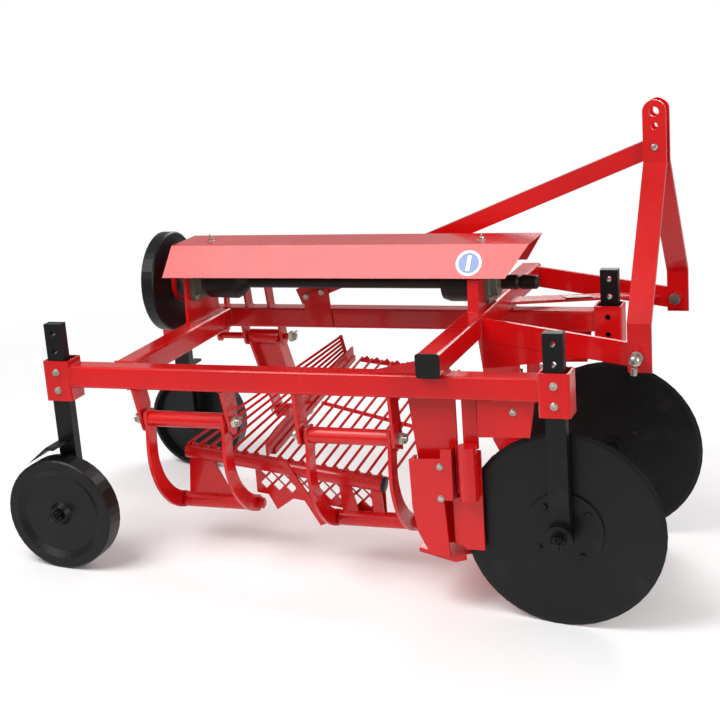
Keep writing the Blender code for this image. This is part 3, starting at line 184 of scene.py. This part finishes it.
def coated(name, colour, shade, gloss, grain, grain_size, depth, soil=0.0, **extra):
    """Painted or moulded surface: slow colour drift, uneven gloss and a fine skin."""
    made, tree = new_material(name)
    place = coordinates(tree)
    drift = node(tree, "ShaderNodeTexNoise", Vector=place, Scale=3.2, Detail=3.0).outputs["Fac"]
    skin = node(tree, "ShaderNodeTexNoise", Vector=place, Scale=1.0 / grain_size,
                Detail=2.0).outputs["Fac"]
    smear = node(tree, "ShaderNodeTexNoise", Vector=place, Scale=11.0, Detail=6.0,
                 Roughness=0.7).outputs["Fac"]
    base = tinted(tree, spread(tree, drift, 0.35, 0.65, 0.0, 1.0), shade, colour)
    if soil:
        dust = spread(tree, smear, 0.56, 0.72, 0.0, soil)
        mix = node(tree, "ShaderNodeMix", {"data_type": "RGBA"}, Factor=dust)
        tree.links.new(base, mix.inputs[6])
        mix.inputs[7].default_value = (*linear("#6E665C"), 1.0)
        base = mix.outputs[2]
    rough = spread(tree, smear, 0.3, 0.7, gloss[0], gloss[1])
    edge = node(tree, "ShaderNodeBevel", {"samples": 4}, Radius=settings("paint").edge)
    bump = node(tree, "ShaderNodeBump", Strength=grain, Distance=depth, Height=skin,
                Normal=edge.outputs["Normal"]).outputs["Normal"]
    shader = node(tree, "ShaderNodeBsdfPrincipled", Base_Color=base, Roughness=rough,
                  Normal=bump)
    for key, value in extra.items():
        shader.inputs[key.replace("_", " ")].default_value = value
    node(tree, "ShaderNodeOutputMaterial", Surface=shader.outputs["BSDF"])
    return made


def darker(colour, share):
    return tuple(c * share for c in colour)


def red_enamel():
    """Sprayed and stoved alkyd enamel: deep gloss with a faint orange peel 3 mm across."""
    red = tuple(settings("paint").red)
    return coated("red_stoving_enamel", red, darker(red, 0.82), (0.20, 0.30), 0.10, 0.003,
                  0.0006, Coat_Weight=0.35, Coat_Roughness=0.06, IOR=1.45,
                  Specular_IOR_Level=0.35)


def black_paint():
    """Satin machinery paint over cast and rolled steel: soft highlights, a little dust."""
    black = tuple(settings("paint").black)
    return coated("black_machinery_paint", black, darker(black, 0.7), (0.30, 0.44), 0.18, 0.004,
                  0.0008, 0.05, IOR=1.45, Specular_IOR_Level=0.32)


def black_plastic():
    """Moulded polyethylene: waxy, even, with a fine leather skin."""
    black = tuple(settings("paint").plastic)
    return coated("black_polyethylene", black, darker(black, 0.85), (0.36, 0.48), 0.20, 0.0015,
                  0.0004, IOR=1.45, Specular_IOR_Level=0.35)


def zinc_plate():
    """Bright zinc on steel: metallic, slightly blue-yellow, with soft rolled marks."""
    zinc = tuple(settings("paint").zinc)
    return coated("zinc_plated_steel", zinc, darker(zinc, 0.72), (0.24, 0.42), 0.15, 0.002,
                  0.0004, Metallic=1.0)


def bearing_paint():
    """Grey-green primer on sand-cast iron: a pebbled skin of about 2 mm."""
    cast = tuple(settings("paint").cast)
    return coated("primed_cast_iron", cast, darker(cast, 0.75), (0.38, 0.55), 0.55, 0.002,
                  0.0010, 0.12, IOR=1.5)


def label_film(name, colour):
    """Printed vinyl: flat colour under a smooth clear film."""
    return coated(name, colour, darker(colour, 0.95), (0.22, 0.28), 0.04, 0.002, 0.0002,
                  Coat_Weight=0.4, Coat_Roughness=0.1)


def paint_of(name):
    return bpy.data.materials[name]


def give(obj, material):
    obj.data.materials.clear()
    obj.data.materials.append(material)


RED, BLACK, PLASTIC = "red_stoving_enamel", "black_machinery_paint", "black_polyethylene"
ZINC, CAST = "zinc_plated_steel", "primed_cast_iron"


# ---- modelling helpers --------------------------------------------------------------------

def deselect():
    if bpy.context.object and bpy.context.object.mode != "OBJECT":
        bpy.ops.object.mode_set(mode="OBJECT")
    bpy.ops.object.select_all(action="DESELECT")


def settle():
    """Put the active object's place into its mesh."""
    bpy.ops.object.transform_apply(location=True, rotation=True, scale=True)
    return bpy.context.object


def edit(select=None):
    """Edit mode on the active object with only the chosen faces selected."""
    mesh = bpy.context.object.data
    for part in (mesh.polygons, mesh.edges, mesh.vertices):
        part.foreach_set("select", [False] * len(part))
    for face in mesh.polygons:
        face.select = bool(select(face)) if select else True
    bpy.ops.object.mode_set(mode="EDIT")
    bpy.ops.mesh.select_mode(type="FACE")


def leave():
    bpy.ops.object.mode_set(mode="OBJECT")
    return bpy.context.object


def cylinder(radius, low, high, sides, chamfer=0.0):
    """Upright cylinder with its top edge chamfered."""
    deselect()
    bpy.ops.mesh.primitive_cylinder_add(vertices=sides, radius=radius, depth=high - low,
                                        location=(0, 0, (low + high) / 2))
    settle()
    if chamfer:
        edit(lambda face: face.normal.z > 0.9)
        bpy.ops.mesh.inset(thickness=chamfer)
        bpy.ops.transform.translate(value=(0, 0, chamfer * 0.5))
        leave()
    return bpy.context.object


def joined(pieces, name):
    """One object from several."""
    deselect()
    for piece in pieces:
        piece.select_set(True)
    bpy.context.view_layer.objects.active = pieces[0]
    if len(pieces) > 1:
        bpy.ops.object.join()
    made = bpy.context.object
    made.name = name
    return made


def smooth(obj, angle=35):
    deselect()
    obj.select_set(True)
    bpy.context.view_layer.objects.active = obj
    bpy.ops.object.shade_smooth_by_angle(angle=radians(angle))
    return obj


def pose(point, direction, turn=0.0):
    """Matrix that stands an upright piece at a place, its top facing a direction."""
    facing = (TURN.to_3x3() @ Vector(direction)).to_track_quat("Z", "Y").to_matrix().to_4x4()
    return Matrix.Translation(at(*point)) @ facing @ Matrix.Rotation(turn, 4, "Z")


def copies(template, places, name, material, body):
    """Copies of a template at each place, joined into one piece on a body."""
    made = []
    for matrix in places:
        copy = template.copy()
        copy.data = template.data.copy()
        copy.data.transform(matrix)
        bpy.context.scene.collection.objects.link(copy)
        made.append(copy)
    piece = joined(made, name)
    return finish_piece(piece, material, body)


def finish_piece(piece, material, body):
    give(piece, paint_of(material))
    smooth(piece)
    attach(piece, body)
    return piece


def discard(*objects):
    for obj in objects:
        bpy.data.objects.remove(obj, do_unlink=True)


def bolt_head(radius):
    """Hexagon head with its flat washer and a shallow dished face."""
    washer = cylinder(radius * 1.12, 0.0, radius * 0.22, 28, radius * 0.05)
    head = cylinder(radius, radius * 0.2, radius * 0.86, 6, radius * 0.10)
    edit(lambda face: face.normal.z > 0.9)
    bpy.ops.mesh.inset(thickness=radius * 0.12)
    bpy.ops.transform.translate(value=(0, 0, -radius * 0.05))
    leave()
    return joined([washer, head], "bolt_head")


def castle_nut(radius):
    """Hexagon nut with a slotted crown, its bolt end and a split pin."""
    nut = cylinder(radius, 0.0, radius * 0.75, 6, radius * 0.08)
    crown = cylinder(radius * 0.78, radius * 0.7, radius * 1.15, 24, 0.0)
    cutters = []
    for i in range(3):
        deselect()
        bpy.ops.mesh.primitive_cube_add(size=1.0, location=(0, 0, radius * 1.1),
                                        rotation=(0, 0, pi * i / 3))
        cutter = bpy.context.object
        cutter.scale = (radius * 2.2, radius * 0.22, radius * 0.42)
        cutters.append(settle())
    for cutter in cutters:
        step = crown.modifiers.new("slot", "BOOLEAN")
        step.operation = "DIFFERENCE"
        step.solver = "EXACT"
        step.object = cutter
        deselect()
        crown.select_set(True)
        bpy.context.view_layer.objects.active = crown
        bpy.ops.object.modifier_apply(modifier=step.name)
    discard(*cutters)
    stud = cylinder(radius * 0.5, 0.0, radius * 1.35, 20, radius * 0.08)
    deselect()
    bpy.ops.mesh.primitive_cylinder_add(vertices=8, radius=radius * 0.09, depth=radius * 2.0,
                                        location=(0, 0, radius * 1.0), rotation=(0, pi / 2, 0))
    pin = settle()
    deselect()
    bpy.ops.mesh.primitive_torus_add(major_radius=radius * 0.20, minor_radius=radius * 0.08,
                                     major_segments=14, minor_segments=6,
                                     location=(radius * 1.12, 0, radius), rotation=(pi / 2, 0, 0))
    eye = settle()
    return joined([nut, crown, stud, pin, eye], "castle_nut")


# ---- pieces -------------------------------------------------------------------------------

class DIGGER_OT_finishes(Operator):
    """Give every frame node its paint, plastic or plating"""
    bl_idname = "digger.finishes"
    bl_label = "Finishes"

    def execute(self, context):
        makers = {"red_enamel": red_enamel(), "black_paint": black_paint(),
                  "black_plastic": black_plastic(), "zinc_steel": zinc_plate(),
                  "cast_iron": bearing_paint()}
        for part in frame["record"]["subparts"]:
            obj = NODES[part["node"]]
            for slot in obj.material_slots:
                slot.material = makers[part["material_slot"]]
        return {"FINISHED"}


class DIGGER_OT_bolts(Operator):
    """Hexagon bolts on the leg sleeves, share, bearings, stay and discs"""
    bl_idname = "digger.bolts"
    bl_label = "Bolts"

    def execute(self, context):
        large, small = settings("fasteners").large, settings("fasteners").small
        big, little = bolt_head(large), bolt_head(small)
        outer, inner = -0.005, 0.065
        legs = []
        for x in (FRONT_LEG_X, REAR_LEG_X):
            for step in (-SLEEVE_BOLT_RISE, SLEEVE_BOLT_RISE):
                z = SLEEVE_MIDDLE + step
                legs.append(pose((x, outer, z), (0, -1, 0), 0.2 + step * 9))
                legs.append(pose((x, WIDTH - outer, z), (0, 1, 0), 0.5 + step * 7))
        copies(big, legs, "sleeve_bolts", ZINC, "frame")
        nuts = [pose((x, inner, SLEEVE_MIDDLE + step), (0, 1, 0), 0.3)
                for x in (FRONT_LEG_X, REAR_LEG_X) for step in (-SLEEVE_BOLT_RISE, SLEEVE_BOLT_RISE)]
        copies(little, nuts, "sleeve_nuts", ZINC, "frame")
        stay = [pose((x, 0.677, z), (0, -1, 0), 0.3) for x, z in STAY_FOOT_BOLTS]
        stay += [pose((x, 0.6893, z), (0, 1, 0), 0.1) for x, z in STAY_FOOT_BOLTS]
        stay += [pose((STAY_TOP_BOLT[0], 0.659, STAY_TOP_BOLT[1]), (0, -1, 0), 0.4),
                 pose((STAY_TOP_BOLT[0], 0.729, STAY_TOP_BOLT[1]), (0, 1, 0), 0.2)]
        copies(little, stay, "stay_bolts", ZINC, "frame")
        faces = (FRONT_TUBE_X + 0.011 + 0.0003 + 0.012, -1.0527 + 0.012)
        corners = [(a, b) for a in (-0.038, 0.038) for b in (-0.038, 0.038)]
        copies(little, [pose((x, SHAFT_Y + a, SHAFT_Z + b), (1, 0, 0), 0.3 + a * 8)
                        for x in faces for a, b in corners], "bearing_bolts", ZINC, "frame")
        share = [(-0.165, 0.0, -0.173), (-0.167, 0.0, -0.257), (0.022, 0.022, -0.032)]
        places = [pose(p, (0, -1, 0), 0.2) for p in share]
        places += [pose((x, WIDTH - y, z), (0, 1, 0), 0.2) for x, y, z in share]
        copies(little, places, "share_bolts", ZINC, "frame")
        for side, y, way in (("right", DISC_FACE_Y, -1), ("left", WIDTH - DISC_FACE_Y, 1)):
            ring = []
            for i in range(4):
                turn = pi / 5 + pi / 2 * i
                x, z = FRONT_LEG_X + DISC_BOLT_RADIUS * cos(turn), DISC_Z + DISC_BOLT_RADIUS * sin(turn)
                ring += [pose((x, y, z), (0, way, 0), turn),
                         pose((x, y - way * DISC_CLAMP, z), (0, -way, 0), turn)]
            copies(little, ring, side + "_disc_bolts", BLACK, side + "_disc")
        discard(big, little)
        return {"FINISHED"}


class DIGGER_OT_castle_nuts(Operator):
    """Castle nuts with split pins on the pivots and stub axles"""
    bl_idname = "digger.castle_nuts"
    bl_label = "Castle nuts"

    def execute(self, context):
        nut = castle_nut(0.0165)
        lug, fixed = 0.0205, []
        for body, arms, z in HANGERS:
            fixed += [pose((arms[1] + lug, 0.050, z), (1, 0, 0), 0.3),
                      pose((arms[0] - lug, 0.050, z), (-1, 0, 0), 0.1)]
            copies(nut, [pose((arms[0] - 0.0045, 0.200, z - 0.285), (-1, 0, 0), 0.4)],
                   body + "_foot_nut", ZINC, body)
        copies(nut, fixed, "pivot_nuts", ZINC, "frame")
        copies(nut, [pose((-0.8885, 0.875, -0.323), (1, 0, 0), 0.2),
                     pose((-0.9865, 0.875, -0.323), (-1, 0, 0), 0.5),
                     pose((-0.857, 0.725, -0.038), (1, 0, 0), 0.7)],
               "left_hanger_nuts", ZINC, "left_hanger")
        axle_nut = castle_nut(0.0185)
        places = [pose((FRONT_LEG_X, AXLE_NUT_Y + 0.012, DISC_Z), (0, -1, 0), 0.5),
                  pose((FRONT_LEG_X, WIDTH - AXLE_NUT_Y - 0.012, DISC_Z), (0, 1, 0), 0.5),
                  pose((REAR_LEG_X, REAR_NUT_Y, WHEEL_Z), (0, -1, 0), 0.2),
                  pose((REAR_LEG_X, WIDTH - REAR_NUT_Y, WHEEL_Z), (0, 1, 0), 0.2)]
        copies(axle_nut, places, "axle_nuts", BLACK, "frame")
        discard(nut, axle_nut)
        return {"FINISHED"}


def weld_piece(lines, name, body):
    """Rippled weld beads between pairs of points, as one piece."""
    bead, ripple = settings("fasteners").bead, settings("fasteners").ripple
    made = []
    for start, end in lines:
        start, end = at(*start), at(*end)
        length = (end - start).length
        deselect()
        bpy.ops.mesh.primitive_uv_sphere_add(segments=8, ring_count=6, radius=1.0)
        drop = bpy.context.object
        drop.scale = (bead, bead, ripple * 0.95)
        settle()
        row = drop.modifiers.new("row", "ARRAY")
        row.count = max(2, ceil(length / ripple))
        row.use_relative_offset = False
        row.use_constant_offset = True
        row.constant_offset_displace = (0, 0, length / (row.count - 1))
        bpy.ops.object.modifier_apply(modifier=row.name)
        turn = (end - start).to_track_quat("Z", "Y").to_matrix().to_4x4()
        drop.data.transform(Matrix.Translation(start) @ turn)
        made.append(drop)
    return finish_piece(joined(made, name), RED, body)


class DIGGER_OT_welds(Operator):
    """Weld beads along the frame's joints, the headstock and the sieve"""
    bl_idname = "digger.welds"
    bl_label = "Welds"

    def execute(self, context):
        front, rear = FRONT_TUBE_X + TUBE / 2, FRONT_TUBE_X - TUBE / 2
        lines = []
        for y in (0.0, WIDTH - TUBE):
            lines += [((front, y + 0.007, TUBE), (front, y + 0.053, TUBE))]
            for x in (0.092, -1.190):
                lines += [((x, y + 0.006, TUBE), (x, y + 0.054, TUBE)),
                          ((x, y + 0.0005, 0.006), (x, y + 0.0005, 0.054)),
                          ((x, y + 0.0595, 0.006), (x, y + 0.0595, 0.054))]
        lines += [((rear, 0.683 + 0.006, TUBE), (rear, 0.683 + 0.054, TUBE)),
                  ((rear, 0.062, 0.067), (rear, 0.140, 0.067)),
                  ((rear - 0.005, TUBE - 0.001, TUBE), (rear - 0.090, TUBE - 0.001, TUBE))]
        for x in (-1.087, -1.027):
            lines += [((x, TUBE, 0.006), (x, TUBE, 0.054)), ((x, 0.683, 0.006), (x, 0.683, 0.054))]
        for y in (TUBE, 0.683):
            lines += [((-1.082, y, TUBE), (-1.032, y, TUBE))]
        for y in (0.3625, 0.3745, 1.0135, 1.0255):
            lines += [((front, y, 0.066), (front, y, 0.114))]
        for y in (0.415, 0.622):
            lines += [((rear + 0.013, y, TUBE_TOP), (rear + 0.039, y, TUBE_TOP))]
        lines += [((FRONT_TUBE_X + 0.011, 0.418, TUBE_TOP), (FRONT_TUBE_X + 0.011, 0.620, TUBE_TOP)),
                  ((-1.053, 0.452, TUBE), (-1.053, 0.680, TUBE))]
        lines += [((front, 0.664, 0.086), (front, 0.728, 0.086))]
        for x in (-0.981, -0.975, -0.908, -0.902):
            lines += [((x, 0.694, TUBE), (x, 0.733, TUBE))]
        weld_piece(lines, "frame_welds", "frame")
        under = []
        for x in (-1.0235, -1.0155, -0.7565, -0.7485, -0.5515, -0.5435, -0.2935, -0.2855):
            under += [((x, 0.008, 0.0), (x, 0.054, 0.0))]
        weld_piece(under, "lug_welds", "frame")
        return {"FINISHED"}


class DIGGER_OT_sieve_trim(Operator):
    """End cap of the sieve's rail and weld spots at the rods"""
    bl_idname = "digger.sieve_trim"
    bl_label = "Sieve trim"

    def execute(self, context):
        cap = cylinder(0.0222, 0.0, 0.007, 28, 0.002)
        ahead = (1.0, 0.0, RAIL_SLOPE)
        copies(cap, [pose((-0.3928, RAIL_Y, rail_z(-0.3928)), ahead)], "rail_cap", PLASTIC,
               "sieve")
        discard(cap)
        spots = []
        xs = [-0.690 + 0.032 * i for i in range(11)] + [-0.952 + 0.032 * i for i in range(7)]
        for x in xs:
            for step in (-0.005, 0.005):
                z = rail_z(x) + 0.0215
                spots.append(((x + step - 0.0005, RAIL_Y - 0.006, z), (x + step, RAIL_Y + 0.006, z)))
        weld_piece(spots, "rod_welds", "sieve")
        return {"FINISHED"}


class DIGGER_OT_hitch_trim(Operator):
    """Domed ends, linch pins and collars on the two lower hitch pins"""
    bl_idname = "digger.hitch_trim"
    bl_label = "Hitch trim"

    def execute(self, context):
        deselect()
        bpy.ops.mesh.primitive_uv_sphere_add(segments=32, ring_count=18, radius=0.0175)
        settle()
        edit(lambda face: face.center.z > 0.0150)
        bpy.ops.mesh.inset(thickness=0.0012)
        bpy.ops.transform.translate(value=(0, 0, -0.0012))
        dome = leave()
        right = HITCH_CENTRE_Y - HITCH_SPREAD / 2 - GAP - STRAP_THICK - PIN_REACH
        left = 2 * HITCH_CENTRE_Y - right
        copies(dome, [pose((HITCH_X, right + 0.006, HITCH_Z), (0, -1, 0)),
                      pose((HITCH_X, left - 0.006, HITCH_Z), (0, 1, 0))],
               "hitch_domes", ZINC, "frame")
        pin = cylinder(0.0042, -0.024, 0.020, 14, 0.001)
        grip = cylinder(0.0085, -0.040, -0.020, 18, 0.003)
        template = joined([pin, grip], "linch_pin")
        copies(template, [pose((HITCH_X, right + 0.008, HITCH_Z), (0.12, 0, 1), 1.2),
                          pose((HITCH_X, left - 0.008, HITCH_Z), (0.1, 0, 1), 1.9)],
               "linch_pins", ZINC, "frame")
        collar = cylinder(0.0160, 0.0, 0.009, 28, 0.0015)
        copies(collar, [pose((HITCH_X, 0.3522, HITCH_Z), (0, -1, 0)),
                        pose((HITCH_X, 1.0358, HITCH_Z), (0, 1, 0))],
               "hitch_collars", ZINC, "frame")
        discard(dome, template, collar)
        return {"FINISHED"}


class DIGGER_OT_guard_trim(Operator):
    """Wing nuts on the guard, its round label and the blank plate on the strut"""
    bl_idname = "digger.guard_trim"
    bl_label = "Guard trim"

    def execute(self, context):
        body = cylinder(0.0075, 0.0, 0.009, 18, 0.001)
        washer = cylinder(0.0120, 0.0, 0.0016, 24, 0.0)
        wings = []
        for way in (-1, 1):
            deselect()
            bpy.ops.mesh.primitive_cylinder_add(vertices=18, radius=0.008, depth=0.0026,
                                                location=(way * 0.0115, 0, 0.012),
                                                rotation=(pi / 2, way * 0.5, 0))
            wing = bpy.context.object
            wing.scale = (1.0, 0.75, 1.0)
            wings.append(settle())
        template = joined([body, washer, *wings], "wing_nut")
        copies(template, [pose((-0.990, 0.520, 0.299), (0, 0, 1), 0.6),
                          pose((-0.170, 0.500, 0.299), (0, 0, 1), 0.2)],
               "wing_nuts", ZINC, "frame")
        discard(template)
        blue = label_film("blue_vinyl", tuple(settings("paint").label))
        white = label_film("white_vinyl", linear("#E9EAEC"))
        facing = (0.0, -0.0850, 0.0475)
        for name, radius, lift, material in (("label_rim", 0.036, 0.0, white),
                                             ("label_middle", 0.0285, 0.0004, blue),
                                             ("label_band", 0.0, 0.0008, white)):
            if radius:
                film = cylinder(radius, lift, lift + 0.0005, 56)
            else:
                deselect()
                bpy.ops.mesh.primitive_cube_add(size=1.0, location=(0, 0, lift + 0.0003))
                film = bpy.context.object
                film.scale = (0.044, 0.011, 0.0004)
                settle()
            film.name = name
            film.data.transform(pose((-0.188, 0.4262, 0.252), facing, pi / 2))
            give(film, material)
            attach(film, "frame")
        plate = cylinder(0.5, 0.0, 0.0009, 4)
        plate.name = "serial_plate"
        plate.data.transform(Matrix.Diagonal((0.130, 0.062, 1.0, 1.0)) @ Matrix.Rotation(pi / 4, 4, "Z"))
        along = Vector((0.342, 0.318, -0.0528)).normalized()
        side = Vector((-0.318, 0.342, 0.0)).normalized()
        top = along.cross(side).normalized()
        turn = Matrix((along, side, top)).transposed().to_4x4()
        plate.data.transform(MACHINE @ Matrix.Translation((0.010, 0.842, 0.0665)) @ turn)
        finish_piece(plate, ZINC, "frame")
        return {"FINISHED"}


# ---- studio -------------------------------------------------------------------------------

def softbox(name, place, target, size, power):
    lamp = bpy.data.lights.new(name, "AREA")
    lamp.shape = "RECTANGLE"
    lamp.size, lamp.size_y = size
    lamp.energy = power
    obj = bpy.data.objects.new(name, lamp)
    bpy.context.scene.collection.objects.link(obj)
    obj.location = place
    obj.rotation_euler = (Vector(target) - Vector(place)).to_track_quat("-Z", "Y").to_euler()
    return obj


class DIGGER_OT_stage(Operator):
    """Pale floor, soft light and the camera"""
    bl_idname = "digger.stage"
    bl_label = "Studio"

    def execute(self, context):
        look = settings("stage")
        deselect()
        bpy.ops.mesh.primitive_plane_add(size=40.0, location=(0, 0, -0.0005))
        floor = bpy.context.object
        floor.name = "floor"
        made, tree = new_material("matt_studio_floor")
        place = coordinates(tree)
        fleck = node(tree, "ShaderNodeTexNoise", Vector=place, Scale=30.0, Detail=4.0).outputs["Fac"]
        colour = tuple(look.floor)
        shader = node(tree, "ShaderNodeBsdfPrincipled", Roughness=0.85,
                      Base_Color=tinted(tree, fleck, darker(colour, 0.985), colour))
        away = node(tree, "ShaderNodeVectorMath", {"operation": "LENGTH"}, Vector=place)
        fade = spread(tree, away.outputs["Value"], *FLOOR_FADE, 0.0, 1.0)
        open_air = node(tree, "ShaderNodeBsdfTransparent")
        mixed = node(tree, "ShaderNodeMixShader", Fac=fade)
        tree.links.new(shader.outputs["BSDF"], mixed.inputs[1])
        tree.links.new(open_air.outputs["BSDF"], mixed.inputs[2])
        node(tree, "ShaderNodeOutputMaterial", Surface=mixed.outputs["Shader"])
        give(floor, made)
        world = bpy.data.worlds.new("studio")
        world.use_nodes = True
        sky = world.node_tree
        sky.nodes.clear()
        seen = node(sky, "ShaderNodeLightPath").outputs["Is Camera Ray"]
        strength = spread(sky, seen, 0.0, 1.0, look.room, 1.0)
        light = node(sky, "ShaderNodeBackground", Color=(1.0, 1.0, 1.0, 1.0), Strength=strength)
        node(sky, "ShaderNodeOutputWorld", Surface=light.outputs["Background"])
        context.scene.world = world
        middle = (0.0, 0.0, 0.45)
        softbox("key", (-1.6, -2.6, 3.6), middle, (2.4, 2.4), look.key)
        softbox("fill", (3.4, -1.6, 1.8), middle, (2.0, 2.0), look.key * 0.35)
        softbox("back", (0.5, 3.4, 2.6), middle, (2.6, 1.6), look.key * 0.55)
        camera = bpy.data.cameras.new("view")
        camera.lens = look.lens
        camera.sensor_width = 36.0
        holder = bpy.data.objects.new("view", camera)
        context.scene.collection.objects.link(holder)
        holder.matrix_world = MACHINE @ camera_matrix()
        context.scene.camera = holder
        context.scene.view_settings.view_transform = "Standard"
        return {"FINISHED"}


def camera_matrix():
    """Where the camera stands on the machine's frame, a little rolled."""
    yaw, pitch, roll = -0.36667, 0.25940, -0.07529
    look = Vector((sin(yaw) * cos(pitch), cos(yaw) * cos(pitch), -sin(pitch)))
    across = Vector((cos(yaw), -sin(yaw), 0.0))
    above = across.cross(look)
    right = across * cos(roll) + above * sin(roll)
    up = -across * sin(roll) + above * cos(roll)
    turn = Matrix((right, up, -look)).transposed().to_4x4()
    return Matrix.Translation((0.9145, -3.3067, 1.0373)) @ turn


class DIGGER_PT_panel(Panel):
    """Lists the digger's pieces and their settings"""
    bl_idname = "DIGGER_PT_panel"
    bl_label = "Potato digger"
    bl_space_type = "VIEW_3D"
    bl_region_type = "UI"
    bl_category = "Digger"

    def draw(self, context):
        for group in ("paint", "fasteners", "stage"):
            box = self.layout.box()
            values = settings(group)
            for key in values.__annotations__:
                box.prop(values, key)
        for operator in OPERATORS:
            self.layout.operator(operator.bl_idname)


OPERATORS = (DIGGER_OT_finishes, DIGGER_OT_bolts, DIGGER_OT_castle_nuts, DIGGER_OT_welds,
             DIGGER_OT_sieve_trim, DIGGER_OT_hitch_trim, DIGGER_OT_guard_trim, DIGGER_OT_stage)
GROUPS = {"paint": DiggerPaint, "fasteners": DiggerFasteners, "stage": DiggerStage}


def register():
    for kind in (*GROUPS.values(), *OPERATORS, DIGGER_PT_panel):
        bpy.utils.register_class(kind)
    for name, group in GROUPS.items():
        setattr(bpy.types.Scene, "digger_" + name, PointerProperty(type=group))


def unregister():
    for name in GROUPS:
        delattr(bpy.types.Scene, "digger_" + name)
    for kind in reversed((*GROUPS.values(), *OPERATORS, DIGGER_PT_panel)):
        bpy.utils.unregister_class(kind)


def main():
    register()
    for operator in OPERATORS:
        group, name = operator.bl_idname.split(".")
        getattr(getattr(bpy.ops, group), name)()


if __name__ == "__main__":
    main()
